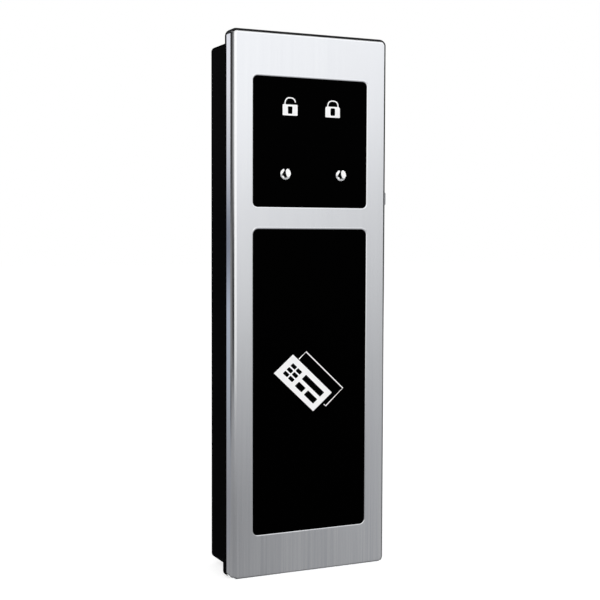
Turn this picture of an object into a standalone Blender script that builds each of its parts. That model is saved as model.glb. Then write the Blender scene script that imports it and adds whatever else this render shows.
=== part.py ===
"""Electronic cabinet lock: a card lock that fits on the face of a cabinet door.

A brushed steel frame with two black windows covers a black housing. Inside are the reader, the
circuit board, three cells and a motor that drives a bolt out of the right side through a gear train
and a rack. Metres, +Z up, the front looks along -Y. The origin is on the housing's flat back, which
sits on the door, in the middle of the frame's width and height.
"""

import math

import bmesh
import bpy
from mathutils import Matrix, Vector

# Frame, as seen from the front
window_width = 0.0440
bottom_margin = 0.0152
lower_window_height = 0.1067
window_rail = 0.0076
upper_window_height = 0.0448
top_margin = 0.0157
frame_depth = 0.0046
sheet = 0.0012
frame_corner = 0.0023
frame_edge_round = 0.0020
upper_window_corner = 0.0017
lower_window_corner = 0.0020
window_chamfer = 0.0004
lug_width = 0.0060
lug_drop = 0.0015
lug_thickness = 0.0010
lug_offset = 0.0130

# Clearances
seat_gap = 0.0003
running_gap = 0.00006
slide_gap = 0.0003
overrun = 0.0010

# Panels and lenses
panel_recess = 0.0003
panel_flange = 0.0020
flange_margin = 0.0026
lens_radius = 0.0020
lens_height = 0.0017
lens_collar = 0.0005
lens_collar_depth = 0.0008
left_lens_x = -0.00975
right_lens_x = 0.01185
lens_above_window = 0.01150

# Housing
side_inset = 0.0030
top_inset = 0.0031
bottom_inset = 0.0018
flange_side_room = 0.0004
housing_wall = 0.0020
housing_back = 0.0020
housing_corner = 0.0014
housing_edge_round = 0.0014
cavity_corner = 0.0006
lip_height = 0.0080
lip_back = 0.0091
lip_inset = 0.0002
lip_corner = 0.0014
lip_edge_round = 0.0008
mount_hole_radius = 0.0022
mount_sink_radius = 0.0036
mount_sink_depth = 0.0012
mount_hole_side = 0.0195
mount_hole_end = 0.0049
post_radius = 0.0026
rib = 0.0012

# Circuit board and what is on it
board_thickness = 0.0016
board_side = 0.0020
board_headroom = 0.0025
board_above_window = 0.0010
board_hole_side = 0.0030
board_hole_end = 0.0035
lamp_radius = 0.0015
lamp_height = 0.0010
chip_side = 0.0070
chip_height = 0.0010
reader_chip_length = 0.0100
reader_chip_width = 0.0060
back_parts_below_top = 0.0127
buzzer_radius = 0.0060
buzzer_height = 0.0050
buzzer_hole_radius = 0.0010
button_radius = 0.0010
button_height = 0.0006
button_travel = 0.00025
switch_side = 0.0042
switch_height = 0.0011
connector_width = 0.0076
connector_height = 0.0050
connector_depth = 0.0036
connector_zone = 0.0090
slim_connector_depth = 0.0017

# Antenna
coil_width = 0.0380
coil_height = 0.0500
coil_below_board = 0.0025
coil_bundle = 0.0024
coil_thickness = 0.0012
coil_corner = 0.0060

# Cells and their holder
cell_count = 3
cell_radius = 0.00725
cell_length = 0.0495
cell_nub_radius = 0.0027
cell_nub_height = 0.0010
cell_gap = 0.00025
holder_wall = 0.0012
holder_bottom_gap = 0.0094
holder_side_room = 0.00155
holder_to_board = 0.008935
contact_thickness = 0.0004
contact_height = 0.0090
spring_length = 0.0050
spring_wide = 0.0032
spring_narrow = 0.0020
spring_wire = 0.0003
spring_turns = 3

# Bolt
bolt_height = 0.0060
bolt_depth = 0.0080
bolt_throw = 0.0113
bolt_travel = 0.0114
bolt_tail = 0.0050
bolt_nose_round = 0.0010
ramp_start = 0.0040
ramp_end = 0.0120
ramp_slope_share = 0.075

# Gear train
rack_module = 0.0008
gear_module = 0.0005
rack_pinion_teeth = 12
output_teeth = 40
small_teeth = 12
intermediate_teeth = 30
pressure_angle = math.radians(25)
addendum_share = 0.90
dedendum_share = 1.20
backlash = 0.00012
gear_width = 0.0015
gear_gap = 0.0003
rack_pinion_width = 0.0042
output_shaft_radius = 0.0015
axle_radius = 0.0010
axle_head_radius = 0.0017
axle_head_height = 0.0004
board_to_gears = 0.0018
intermediate_side = 0.0065
rack_start = 0.0040
rack_end = 0.0160

# Motor
motor_radius = 0.0120
motor_length = 0.0109
motor_boss_radius = 0.0030
motor_shaft_radius = 0.0010
motor_edge_round = 0.0010
motor_hole_side = 0.0070

# Mechanism plate
plate_thickness = 0.0015
plate_side = 0.0012
plate_margin = 0.0022
plate_corner = 0.0020
plate_hole_side = 0.0038
plate_hole_end = 0.0034

# Bolt switch
bolt_switch_length = 0.0128
bolt_switch_height = 0.0065
bolt_switch_depth = 0.0058
bolt_switch_lift = 0.0047
lever_pivot_x = -0.0164
lever_tip_x = -0.0020
lever_pivot_lift = 0.0039
lever_thickness = 0.0005
lever_width = 0.0036
lever_knuckle = 0.0006

# Screws: shank radius, length below the head, head radius and head height
board_screw = (0.00125, 0.0070, 0.0022, 0.0014)
plate_screw = (0.00125, 0.0070, 0.0022, 0.0014)
motor_screw = (0.00090, 0.0032, 0.0017, 0.0009)
frame_screw = (0.00085, 0.0062, 0.0015, 0.0009)
screw_hole_gap = 0.0001
frame_screw_offset = 0.0150
frame_boss_width = 0.0060
frame_boss_rise = 0.0046

# Leads
lead_radius = 0.0005

# Roundness
corner_steps = 4
round_steps = 24
small_round_steps = 12
dome_steps = 6
flank_points = 3
spring_steps = 8

# Widths that follow: the housing takes the wider of the panels' flanges and the cells' holder
holder_inner_half = cell_count * cell_radius + (cell_count + 1) * cell_gap / 2
holder_half = holder_inner_half + holder_wall
flange_half = window_width / 2 + flange_margin
cavity_half = max(flange_half + flange_side_room, holder_half + holder_side_room)
housing_half = cavity_half + housing_wall
half_frame = housing_half + side_inset
frame_width = 2 * half_frame

# Heights of the frame and housing that follow, from the frame's bottom edge
lower_window_top = bottom_margin + lower_window_height
upper_window_bottom = lower_window_top + window_rail
upper_window_top = upper_window_bottom + upper_window_height
frame_height = upper_window_top + top_margin
housing_top = frame_height - top_inset
cavity_bottom = bottom_inset + housing_wall
cavity_top = housing_top - housing_wall
rim_gap = sheet + seat_gap

# Depths behind the frame's front face
flange_front = sheet + seat_gap
flange_back = flange_front + panel_flange
board_front = flange_back + board_headroom
board_back = board_front + board_thickness
outer_gears_front = board_back + board_to_gears
outer_gears_back = outer_gears_front + gear_width
inner_gears_front = outer_gears_back + gear_gap
inner_gears_back = inner_gears_front + gear_width
plate_front = inner_gears_back + gear_gap
plate_back = plate_front + plate_thickness
motor_front = plate_back + seat_gap
motor_back = motor_front + motor_length
wall_front = motor_back + seat_gap
total_depth = wall_front + housing_back
bolt_front = plate_back + slide_gap
bolt_back = bolt_front + bolt_depth

# Sizes of the cell holder
holder_bottom = cavity_bottom + holder_bottom_gap
contact_room = contact_thickness + 2 * seat_gap
holder_inner = cell_length + cell_nub_height + spring_length + 2 * contact_room
holder_top = holder_bottom + holder_inner + 2 * holder_wall
holder_back = wall_front - seat_gap
cell_middle_depth = holder_back - holder_wall - seat_gap - cell_radius
holder_front = cell_middle_depth - cell_radius / 2
cell_pitch = 2 * cell_radius + cell_gap

# Heights of the mechanism, which stands on the holder's leads and connectors
rack_dedendum = dedendum_share * rack_module
rack_addendum = addendum_share * rack_module
rack_pinion_radius = rack_module * rack_pinion_teeth / 2
output_radius = gear_module * output_teeth / 2
small_radius = gear_module * small_teeth / 2
intermediate_radius = gear_module * intermediate_teeth / 2
first_centres = output_radius + small_radius
second_centres = intermediate_radius + small_radius
board_bottom = holder_top + holder_to_board
plate_bottom = board_bottom + connector_zone
motor_height = plate_bottom + plate_margin + motor_radius
intermediate_height = motor_height + math.sqrt(second_centres ** 2 - intermediate_side ** 2)
output_height = intermediate_height + math.sqrt(first_centres ** 2 - intermediate_side ** 2)
rack_pitch_line = output_height + rack_pinion_radius
bolt_bottom = rack_pitch_line + rack_dedendum
bolt_middle = bolt_bottom + bolt_height / 2
bolt_top = bolt_bottom + bolt_height
bolt_tip = housing_half + bolt_throw
plate_half = cavity_half - plate_side
plate_top = bolt_top + bolt_switch_lift + bolt_switch_height + plate_margin
board_half = cavity_half - board_side
board_top = upper_window_top + board_above_window
back_parts_height = board_top - back_parts_below_top
lens_height_place = upper_window_bottom + lens_above_window
lever_pivot_height = bolt_top + lever_pivot_lift
bolt_switch_bottom = bolt_top + bolt_switch_lift


def place(x, depth, height):
    """The world point of a place right of the middle, behind the front face and above the bottom edge."""
    return Vector((x, depth - total_depth, height - frame_height / 2))


def new_collection(name):
    collection = bpy.data.collections.new(name)
    bpy.context.scene.collection.children.link(collection)
    return collection


def make_finish(name, colour, roughness, metallic=0.0, alpha=1.0):
    finish = bpy.data.materials.new(name)
    finish.use_nodes = True
    shader = finish.node_tree.nodes["Principled BSDF"]
    shader.inputs["Base Color"].default_value = (*colour, 1.0)
    shader.inputs["Roughness"].default_value = roughness
    shader.inputs["Metallic"].default_value = metallic
    shader.inputs["Alpha"].default_value = alpha
    finish.diffuse_color = (*colour, alpha)
    return finish


def add_object(name, mesh, where=None, finish=None):
    """An object of the lock with a finish, or a hidden cutter or filler without one."""
    thing = bpy.data.objects.new(name, mesh)
    if where is not None:
        thing.location = where
    if finish is None:
        cutters.objects.link(thing)
        thing.hide_render = True
        thing.display_type = "WIRE"
        return thing
    parts.objects.link(thing)
    mesh.materials.append(finish)
    mesh.shade_smooth()
    mesh.set_sharp_from_angle(angle=math.radians(35))
    return thing


def boolean(target, other, operation, solver):
    step = target.modifiers.new(operation.lower(), "BOOLEAN")
    step.operation = operation
    step.object = other
    step.solver = solver


def cut(target, cutter, solver="EXACT"):
    boolean(target, cutter, "DIFFERENCE", solver)


def join(target, other, solver="EXACT"):
    boolean(target, other, "UNION", solver)


def arc(centre, radius, start, end, steps):
    angles = [start + (end - start) * step / steps for step in range(steps + 1)]
    return [(centre[0] + radius * math.cos(a), centre[1] + radius * math.sin(a)) for a in angles]


def circle(radius, steps=round_steps, centre=(0, 0)):
    return arc(centre, radius, 0, math.tau, steps)[:-1]


def rounded_rectangle(width, height, corner, steps=corner_steps):
    right = width / 2 - corner
    top = height / 2 - corner
    outline = []
    for quarter, (x, y) in enumerate([(right, top), (-right, top), (-right, -top), (right, -top)]):
        start = quarter * math.pi / 2
        outline += arc((x, y), corner, start, start + math.pi / 2, steps)
    return outline


def outline_mesh(name, loops, thickness):
    """A flat outline in XZ with its thickness along Y; loops after the first are holes."""
    curve = bpy.data.curves.new(name, "CURVE")
    curve.dimensions = "2D"
    curve.fill_mode = "BOTH"
    curve.extrude = thickness / 2
    for loop in loops:
        spline = curve.splines.new("POLY")
        spline.points.add(len(loop) - 1)
        for point, (x, y) in zip(spline.points, loop):
            point.co = (x, y, 0, 1)
        spline.use_cyclic_u = True
    mesh = curve_to_mesh(name, curve)
    mesh.transform(Matrix.Rotation(math.pi / 2, 4, "X"))
    if len(loops) == 1:
        tidy_caps(mesh)
    return mesh


def curve_to_mesh(name, curve):
    holder = bpy.data.objects.new(name, curve)
    bpy.context.scene.collection.objects.link(holder)
    graph = bpy.context.evaluated_depsgraph_get()
    mesh = bpy.data.meshes.new_from_object(holder.evaluated_get(graph))
    mesh.name = name
    bpy.data.objects.remove(holder)
    bpy.data.curves.remove(curve)
    shape = bmesh.new()
    shape.from_mesh(mesh)
    bmesh.ops.remove_doubles(shape, verts=shape.verts, dist=running_gap / 10)
    bmesh.ops.recalc_face_normals(shape, faces=shape.faces)
    shape.to_mesh(mesh)
    shape.free()
    mesh.materials.clear()
    return mesh


def tidy_caps(mesh):
    """Makes each flat cap one face, so that its rim can be rounded."""
    shape = bmesh.new()
    shape.from_mesh(mesh)
    caps = [face for face in shape.faces if abs(face.normal.y) > math.cos(math.radians(1))]
    rims = {edge for face in caps for edge in face.edges}
    flat = [e for e in rims if len(e.link_faces) == 2 and all(f in caps for f in e.link_faces)]
    bmesh.ops.dissolve_edges(shape, edges=flat, use_verts=False)
    shape.to_mesh(mesh)
    shape.free()


def slab_mesh(name, width, height, thickness, corner):
    return outline_mesh(name, [rounded_rectangle(width, height, corner)], thickness)


def box_mesh(name, size):
    shape = bmesh.new()
    bmesh.ops.create_cube(shape, size=1, matrix=Matrix.Diagonal((*size, 1)))
    mesh = bpy.data.meshes.new(name)
    shape.to_mesh(mesh)
    shape.free()
    return mesh


def rod_mesh(name, radius, length, steps=round_steps, far_radius=None):
    """A cylinder or cone along Y, its far radius at the back."""
    shape = bmesh.new()
    far = radius if far_radius is None else far_radius
    bmesh.ops.create_cone(shape, cap_ends=True, segments=steps, radius1=radius, radius2=far, depth=length)
    mesh = bpy.data.meshes.new(name)
    shape.to_mesh(mesh)
    shape.free()
    mesh.transform(Matrix.Rotation(-math.pi / 2, 4, "X"))
    return mesh


def sink_cone(name, hole_radius, wide_radius, height, steps=small_round_steps):
    """A countersink's cutter along Y, wide end in front, and where its middle lies behind the face."""
    slope = (wide_radius - hole_radius) / height
    past = hole_radius / (2 * slope)
    length = overrun + height + past
    mesh = rod_mesh(name, wide_radius + slope * overrun, length, steps, hole_radius / 2)
    return mesh, (height + past - overrun) / 2


def round_edges(mesh, chosen, width, segments):
    shape = bmesh.new()
    shape.from_mesh(mesh)
    edges = [edge for edge in shape.edges if chosen(edge)]
    bmesh.ops.bevel(shape, geom=edges, offset=width, segments=segments, profile=0.5, affect="EDGES")
    shape.to_mesh(mesh)
    shape.free()


def rim_at(depth_sign):
    """Chooses the edges round a slab's front (-1) or back (+1) face."""
    def chosen(edge):
        near = all(vert.co.y * depth_sign > 0 for vert in edge.verts)
        return near and edge.is_manifold and edge.calc_face_angle() > math.radians(60)
    return chosen


def turned(name, profile, finish, where, steps, turn=None):
    """A turned piece: (radius, along) points down its outer side, top to bottom, screwed round Z."""
    mesh = bpy.data.meshes.new(name)
    edges = [(i, i + 1) for i in range(len(profile) - 1)]
    mesh.from_pydata([(radius, 0, along) for radius, along in profile], edges, [])
    thing = add_object(name, mesh, where, finish)
    if turn is not None:
        thing.rotation_euler = turn
    screw = thing.modifiers.new("screw", "SCREW")
    screw.steps = steps
    screw.render_steps = steps
    screw.use_merge_vertices = True
    screw.merge_threshold = running_gap / 10
    screw.use_smooth_shade = True
    return thing


def add_box(name, x, depth, height, finish=None):
    """A box between pairs of places along X, in depth and in height."""
    size = (x[1] - x[0], depth[1] - depth[0], height[1] - height[0])
    middle = place(sum(x) / 2, sum(depth) / 2, sum(height) / 2)
    return add_object(name, box_mesh(name, size), middle, finish)


def add_rod(name, x, depth, height, radius, finish=None, steps=round_steps, far_radius=None):
    mesh = rod_mesh(name, radius, depth[1] - depth[0], steps, far_radius)
    return add_object(name, mesh, place(x, sum(depth) / 2, height), finish)


def add_slab(name, width, bottom, top, depth, corner, finish=None):
    mesh = slab_mesh(name, width, top - bottom, depth[1] - depth[0], corner)
    return add_object(name, mesh, place(0, sum(depth) / 2, (bottom + top) / 2), finish)


def make_finishes():
    return {
        "steel": make_finish("brushed_steel", (0.74, 0.75, 0.77), 0.32, 1.0),
        "bright": make_finish("bright_steel", (0.66, 0.67, 0.69), 0.28, 1.0),
        "brass": make_finish("brass", (0.72, 0.55, 0.26), 0.35, 1.0),
        "copper": make_finish("enamelled_copper", (0.60, 0.25, 0.11), 0.38, 1.0),
        "gloss": make_finish("gloss_black", (0.004, 0.004, 0.005), 0.08),
        "black": make_finish("moulded_black", (0.012, 0.012, 0.013), 0.42),
        "clear": make_finish("clear_lens", (0.92, 0.94, 0.95), 0.04, 0.0, 0.4),
        "board": make_finish("green_board", (0.02, 0.16, 0.07), 0.45),
        "chip": make_finish("chip_black", (0.02, 0.02, 0.022), 0.50),
        "white": make_finish("white_nylon", (0.80, 0.79, 0.75), 0.45),
        "cell": make_finish("cell_sleeve", (0.05, 0.12, 0.34), 0.30),
        "red": make_finish("red_insulation", (0.55, 0.02, 0.02), 0.40),
        "grey": make_finish("grey_insulation", (0.25, 0.25, 0.27), 0.40),
        "lamp": make_finish("lamp_resin", (0.85, 0.84, 0.70), 0.25),
    }


def window_cutters(name, bottom, top, corner):
    """The window's opening and the 45 degree chamfer round its front edge, cut on past the edge."""
    opening = add_slab(name, window_width, bottom, top, (-overrun, sheet + overrun), corner)
    past = 2 * window_chamfer
    reach = window_chamfer + past
    mesh = slab_mesh(name + "_chamfer", window_width + 2 * window_chamfer,
                     top - bottom + 2 * window_chamfer, overrun + reach, corner + window_chamfer)
    round_edges(mesh, rim_at(1), reach, 1)
    chamfer = add_object(name + "_chamfer", mesh, place(0, (reach - overrun) / 2, (bottom + top) / 2))
    return opening, chamfer


def frame_screw_depth():
    """The frame screws go up through the middle of the frame's bottom wall."""
    return (sheet + frame_depth) / 2 + seat_gap


def build_front_frame(finish):
    mesh = slab_mesh("front_frame", frame_width, frame_height, frame_depth, frame_corner)
    round_edges(mesh, rim_at(-1), frame_edge_round, 3)
    frame = add_object("front_frame", mesh, place(0, frame_depth / 2, frame_height / 2), finish)
    inner_corner = frame_corner - sheet
    hollow = add_slab("frame_hollow", frame_width - 2 * sheet, sheet, frame_height - sheet,
                      (sheet, frame_depth + overrun), inner_corner)
    cut(frame, hollow)
    lower = ("lower_window_cut", bottom_margin, lower_window_top, lower_window_corner)
    upper = ("upper_window_cut", upper_window_bottom, upper_window_top, upper_window_corner)
    for window in (lower, upper):
        for cutter in window_cutters(*window):
            cut(frame, cutter, "MANIFOLD")
    for side in (-1, 1):
        middle = side * lug_offset
        spread = (middle - lug_width / 2, middle + lug_width / 2)
        lug = add_box("frame_lug", spread, (frame_depth - lug_thickness, frame_depth),
                      (frame_height - sheet - lug_drop, frame_height - sheet / 2))
        join(frame, lug, "MANIFOLD")
    for side in (-1, 1):
        cut_screw_seat(frame, side * frame_screw_offset)


def cut_screw_seat(frame, x):
    """A countersunk hole up through the frame's bottom wall."""
    radius, _, head_radius, head_height = frame_screw
    where = place(x, frame_screw_depth(), 0)
    hole = add_object("frame_screw_hole", rod_mesh("frame_screw_hole", radius + screw_hole_gap,
                      2 * (sheet + overrun), small_round_steps), where)
    hole.rotation_euler = (math.pi / 2, 0, 0)
    cut(frame, hole, "MANIFOLD")
    mesh, middle = sink_cone("frame_screw_sink", radius + screw_hole_gap, head_radius + screw_hole_gap,
                             head_height)
    sink = add_object("frame_screw_sink", mesh, where + Vector((0, 0, middle)))
    sink.rotation_euler = (math.pi / 2, 0, 0)
    cut(frame, sink, "MANIFOLD")


def build_panel(name, bottom, top, corner, finish):
    """A glossy panel whose raised middle fills its window and whose flange lies behind the sheet."""
    face = slab_mesh(name, window_width - 2 * seat_gap, top - bottom - 2 * seat_gap,
                     flange_back - panel_recess, corner)
    middle = (bottom + top) / 2
    panel = add_object(name, face, place(0, (panel_recess + flange_back) / 2, middle), finish)
    flange = add_slab(name + "_flange", 2 * flange_half, bottom - flange_margin,
                      top + flange_margin, (flange_front, flange_back), corner)
    join(panel, flange)
    return panel


def build_panels(finish):
    build_panel("lower_panel", bottom_margin, lower_window_top, lower_window_corner, finish)
    upper = build_panel("upper_panel", upper_window_bottom, upper_window_top, upper_window_corner, finish)
    for x in (left_lens_x, right_lens_x):
        hole = add_rod("lens_hole", x, (-overrun, flange_back + overrun), lens_height_place,
                       lens_radius + running_gap)
        cut(upper, hole)
        pocket = add_rod("lens_pocket", x, (flange_back - lens_collar_depth, flange_back + overrun),
                         lens_height_place, lens_radius + lens_collar + running_gap)
        cut(upper, pocket)


def build_lens(name, x, finish):
    """A clear dome on a stem, with a collar that stops it behind the panel."""
    dome = arc((0, 0), 1, math.pi / 2, 0, dome_steps)
    profile = [(lens_radius * a, panel_recess - lens_height * b) for a, b in dome]
    collar_front = flange_back - lens_collar_depth + running_gap
    collar = lens_radius + lens_collar
    profile += [(lens_radius, collar_front), (collar, collar_front), (collar, flange_back), (0, flange_back)]
    profile = [(radius, panel_recess - depth) for radius, depth in profile]
    where = place(x, panel_recess, lens_height_place)
    turned(name, profile, finish, where, round_steps, (math.pi / 2, 0, 0))


def build_housing(finish):
    front = frame_depth + seat_gap
    mesh = slab_mesh("housing", 2 * housing_half, housing_top - bottom_inset, total_depth - rim_gap,
                     housing_corner)
    round_edges(mesh, rim_at(1), housing_edge_round, 3)
    middle = (bottom_inset + housing_top) / 2
    housing = add_object("housing", mesh, place(0, (rim_gap + total_depth) / 2, middle), finish)
    rim = add_slab("rim", frame_width - 2 * rim_gap, rim_gap, frame_height - rim_gap,
                   (rim_gap, front + rib / 2), frame_corner - sheet)
    join(housing, rim)
    flange = add_slab("rim_flange", frame_width, 0, frame_height, (front, front + rib), frame_corner)
    join(housing, flange)
    lip_front = front + rib / 2
    lip_mesh = slab_mesh("lip", frame_width - 2 * lip_inset, lip_height, lip_back - lip_front, lip_corner)
    round_edges(lip_mesh, rim_at(1), lip_edge_round, 3)
    lip = add_object("lip", lip_mesh, place(0, (lip_front + lip_back) / 2, lip_inset + lip_height / 2))
    join(housing, lip)
    cavity = add_slab("cavity", 2 * cavity_half, cavity_bottom, cavity_top, (rim_gap - overrun, wall_front),
                      cavity_corner)
    cut(housing, cavity)
    add_housing_posts(housing)
    add_bolt_way(housing)
    add_frame_bosses(housing)
    cut_mount_holes(housing)


def drilled_post(housing, x, height, tip, screw, into):
    """A post from the back wall up to a board or plate, with its pilot hole."""
    root = wall_front + housing_back / 2
    post = add_rod("post", x, (tip, root), height, post_radius, None, small_round_steps)
    join(housing, post)
    hole = add_rod("post_hole", x, (tip - overrun, tip + into), height, screw[0] + screw_hole_gap, None,
                   small_round_steps)
    cut(housing, hole)


def board_holes():
    side = board_half - board_hole_side
    ends = (board_bottom + board_hole_end, board_top - board_hole_end)
    return [(sign * side, height) for sign in (-1, 1) for height in ends]


def plate_holes():
    side = plate_half - plate_hole_side
    ends = (plate_bottom + plate_hole_end, plate_top - plate_hole_end)
    return [(sign * side, height) for sign in (-1, 1) for height in ends]


def mount_places():
    ends = (cavity_bottom + mount_hole_end, cavity_top - mount_hole_end)
    return [(sign * mount_hole_side, height) for sign in (-1, 1) for height in ends]


def add_housing_posts(housing):
    board_depth = board_screw[1] + seat_gap
    for x, height in board_holes():
        drilled_post(housing, x, height, board_back + seat_gap, board_screw, board_depth)
    plate_depth = plate_screw[1] + seat_gap
    for x, height in plate_holes():
        drilled_post(housing, x, height, plate_back + seat_gap, plate_screw, plate_depth)
    tip = bolt_front + rack_pinion_width + 2 * gear_gap
    boss = add_rod("shaft_boss", 0, (tip, wall_front + housing_back / 2), output_height,
                   2 * output_shaft_radius, None)
    join(housing, boss)
    bore = add_rod("shaft_bore", 0, (tip - overrun, wall_front), output_height,
                   output_shaft_radius + running_gap, None)
    cut(housing, bore)


def add_bolt_way(housing):
    """The bolt's way: two ribs behind it, a rail above and below it, an end stop and the side opening."""
    root = wall_front + housing_back / 2
    tail = -bolt_tail - bolt_travel
    behind = (bolt_back + slide_gap, root)
    for height in (bolt_bottom + rib, bolt_top - rib):
        rib_box = add_box("bolt_rib", (tail, cavity_half + housing_wall / 2), behind,
                          (height - rib / 2, height + rib / 2))
        join(housing, rib_box)
    beside = (plate_back + seat_gap, root)
    right_wall = cavity_half + housing_wall / 2
    upper_rail = add_box("upper_rail", (ramp_end + 3 * slide_gap, right_wall), beside,
                         (bolt_top + slide_gap, bolt_top + slide_gap + rib))
    join(housing, upper_rail)
    lower_rail = add_box("lower_rail", (rack_end + 3 * slide_gap, right_wall), beside,
                         (bolt_bottom - slide_gap - rib, bolt_bottom - slide_gap))
    join(housing, lower_rail)
    stop = add_box("bolt_stop", (tail - slide_gap - rib, tail - slide_gap), beside, (bolt_bottom, bolt_top))
    join(housing, stop)
    opening = add_box("bolt_opening", (cavity_half - overrun, half_frame),
                      (bolt_front - slide_gap, bolt_back + slide_gap),
                      (bolt_bottom - slide_gap, bolt_top + slide_gap))
    cut(housing, opening)


def add_frame_bosses(housing):
    """Bosses behind the bottom rim for the frame's screws, and slots in the top rim for its lugs."""
    depth = frame_screw_depth()
    hole_radius = frame_screw[0] + screw_hole_gap
    for side in (-1, 1):
        x = side * frame_screw_offset
        boss = add_box("frame_boss", (x - frame_boss_width / 2, x + frame_boss_width / 2),
                       (rim_gap, frame_depth + seat_gap + sheet),
                       (cavity_bottom - housing_wall / 2, cavity_bottom + frame_boss_rise))
        join(housing, boss)
        hole_mesh = rod_mesh("frame_boss_hole", hole_radius, frame_screw[1] + overrun, small_round_steps)
        top = frame_screw[1] + seat_gap
        middle = (top + top - frame_screw[1] - overrun) / 2
        hole = add_object("frame_boss_hole", hole_mesh, place(x, depth, middle))
        hole.rotation_euler = (math.pi / 2, 0, 0)
        cut(housing, hole)
    for side in (-1, 1):
        middle = side * lug_offset
        half = lug_width / 2 + seat_gap
        slot = add_box("lug_slot", (middle - half, middle + half),
                       (frame_depth - lug_thickness - seat_gap, frame_depth + 2 * seat_gap),
                       (frame_height - sheet - lug_drop - seat_gap, frame_height))
        cut(housing, slot)


def cut_mount_holes(housing):
    for x, height in mount_places():
        hole = add_rod("mount_hole", x, (wall_front - overrun, total_depth + overrun), height,
                       mount_hole_radius, None)
        cut(housing, hole, "MANIFOLD")
        mesh, middle = sink_cone("mount_sink", mount_hole_radius, mount_sink_radius, mount_sink_depth,
                                 round_steps)
        sink = add_object("mount_sink", mesh, place(x, wall_front + middle, height))
        cut(housing, sink, "MANIFOLD")


def build_board(finishes):
    height = board_top - board_bottom
    loops = [rounded_rectangle(2 * board_half, height, plate_corner)]
    middle = (board_top + board_bottom) / 2
    for x, hole_height in board_holes():
        loops.append(circle(board_screw[0] + screw_hole_gap, small_round_steps, (x, hole_height - middle)))
    mesh = outline_mesh("main_board", loops, board_thickness)
    add_object("main_board", mesh, place(0, board_front + board_thickness / 2, middle), finishes["board"])
    front = board_front - seat_gap
    back = board_back + seat_gap
    for name, x in (("indicator_lamp_left", left_lens_x), ("indicator_lamp_right", right_lens_x)):
        add_rod(name, x, (front - lamp_height, front), lens_height_place, lamp_radius, finishes["lamp"],
                small_round_steps)
    chip_height_place = output_height
    add_box("controller_chip", (-chip_side / 2, chip_side / 2), (front - chip_height, front),
            (chip_height_place - chip_side / 2, chip_height_place + chip_side / 2), finishes["chip"])
    reader_bottom = board_bottom + connector_zone + reader_chip_width
    add_box("reader_chip", (-reader_chip_length / 2, reader_chip_length / 2), (front - chip_height, front),
            (reader_bottom, reader_bottom + reader_chip_width), finishes["chip"])
    build_buzzer(back, finishes["chip"])
    build_learn_switch(front, finishes)
    build_connectors(front, back, finishes["white"])


def build_buzzer(back, finish):
    x = buzzer_radius + rib
    end = back + buzzer_height
    buzzer = add_rod("buzzer", x, (back, end), back_parts_height, buzzer_radius, finish)
    hole = add_rod("buzzer_hole", x, (end - buzzer_height / 2, end + overrun), back_parts_height,
                   buzzer_hole_radius, None, small_round_steps)
    cut(buzzer, hole)


def build_learn_switch(front, finishes):
    x = -board_half + 2 * switch_side
    height = back_parts_height
    bottom = height - switch_side / 2
    base = add_box("learn_switch", (x - switch_side / 2, x + switch_side / 2),
                   (front - switch_height, front), (bottom, bottom + switch_side), finishes["bright"])
    well_floor = front - switch_height + button_height + button_travel
    well = add_rod("button_well", x, (front - switch_height - overrun, well_floor), height,
                   button_radius + running_gap, None, small_round_steps)
    cut(base, well)
    button_back = well_floor - button_travel - running_gap
    tip = button_back - 2 * button_height
    add_rod("learn_button", x, (tip, button_back), height, button_radius, finishes["chip"], small_round_steps)


def connector_bottom():
    return board_bottom + connector_zone / 2 - connector_height / 2


def build_connectors(front, back, finish):
    bottom = connector_bottom()
    for name, x in (("battery_connector", -connector_width), ("motor_connector", connector_width)):
        add_connector(name, x, (back, back + connector_depth), bottom, finish)
    add_connector("antenna_connector", 0, (front - slim_connector_depth, front), bottom, finish)


def add_connector(name, x, depth, bottom, finish):
    """A two-way connector, with a socket in its lower end for each lead."""
    body = add_box(name, (x - connector_width / 2, x + connector_width / 2), depth,
                   (bottom, bottom + connector_height), finish)
    for side in (-1, 1):
        socket_mesh = rod_mesh("socket", lead_radius + screw_hole_gap, connector_height, small_round_steps)
        where = place(x + side * connector_width / 4, sum(depth) / 2, bottom)
        socket = add_object("socket", socket_mesh, where)
        socket.rotation_euler = (math.pi / 2, 0, 0)
        cut(body, socket)


def build_antenna(finish):
    """The coil's bundle of turns, taped to the back of the lower panel."""
    outer = rounded_rectangle(coil_width, coil_height, coil_corner)
    inner = rounded_rectangle(coil_width - 2 * coil_bundle, coil_height - 2 * coil_bundle,
                              coil_corner - coil_bundle)
    mesh = outline_mesh("antenna_coil", [outer, inner], coil_thickness)
    front = flange_back + seat_gap
    add_object("antenna_coil", mesh, place(0, front + coil_thickness / 2, coil_middle()), finish)


def coil_middle():
    return board_bottom - coil_below_board - coil_height / 2


def holder_inner_bottom():
    return holder_bottom + holder_wall


def build_holder(finishes):
    holder = add_box("battery_holder", (-holder_half, holder_half), (holder_front, holder_back),
                     (holder_bottom, holder_top), finishes["black"])
    bay = add_box("holder_bay", (-holder_inner_half, holder_inner_half),
                  (holder_front - overrun, holder_back - holder_wall),
                  (holder_bottom + holder_wall, holder_top - holder_wall))
    cut(holder, bay)
    low = holder_inner_bottom()
    high = low + holder_inner
    for index in range(cell_count):
        build_cell(index, low, high, finishes)
    add_contacts(low, high, finishes["bright"])


def cell_x(index):
    return (index - (cell_count - 1) / 2) * cell_pitch


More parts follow.
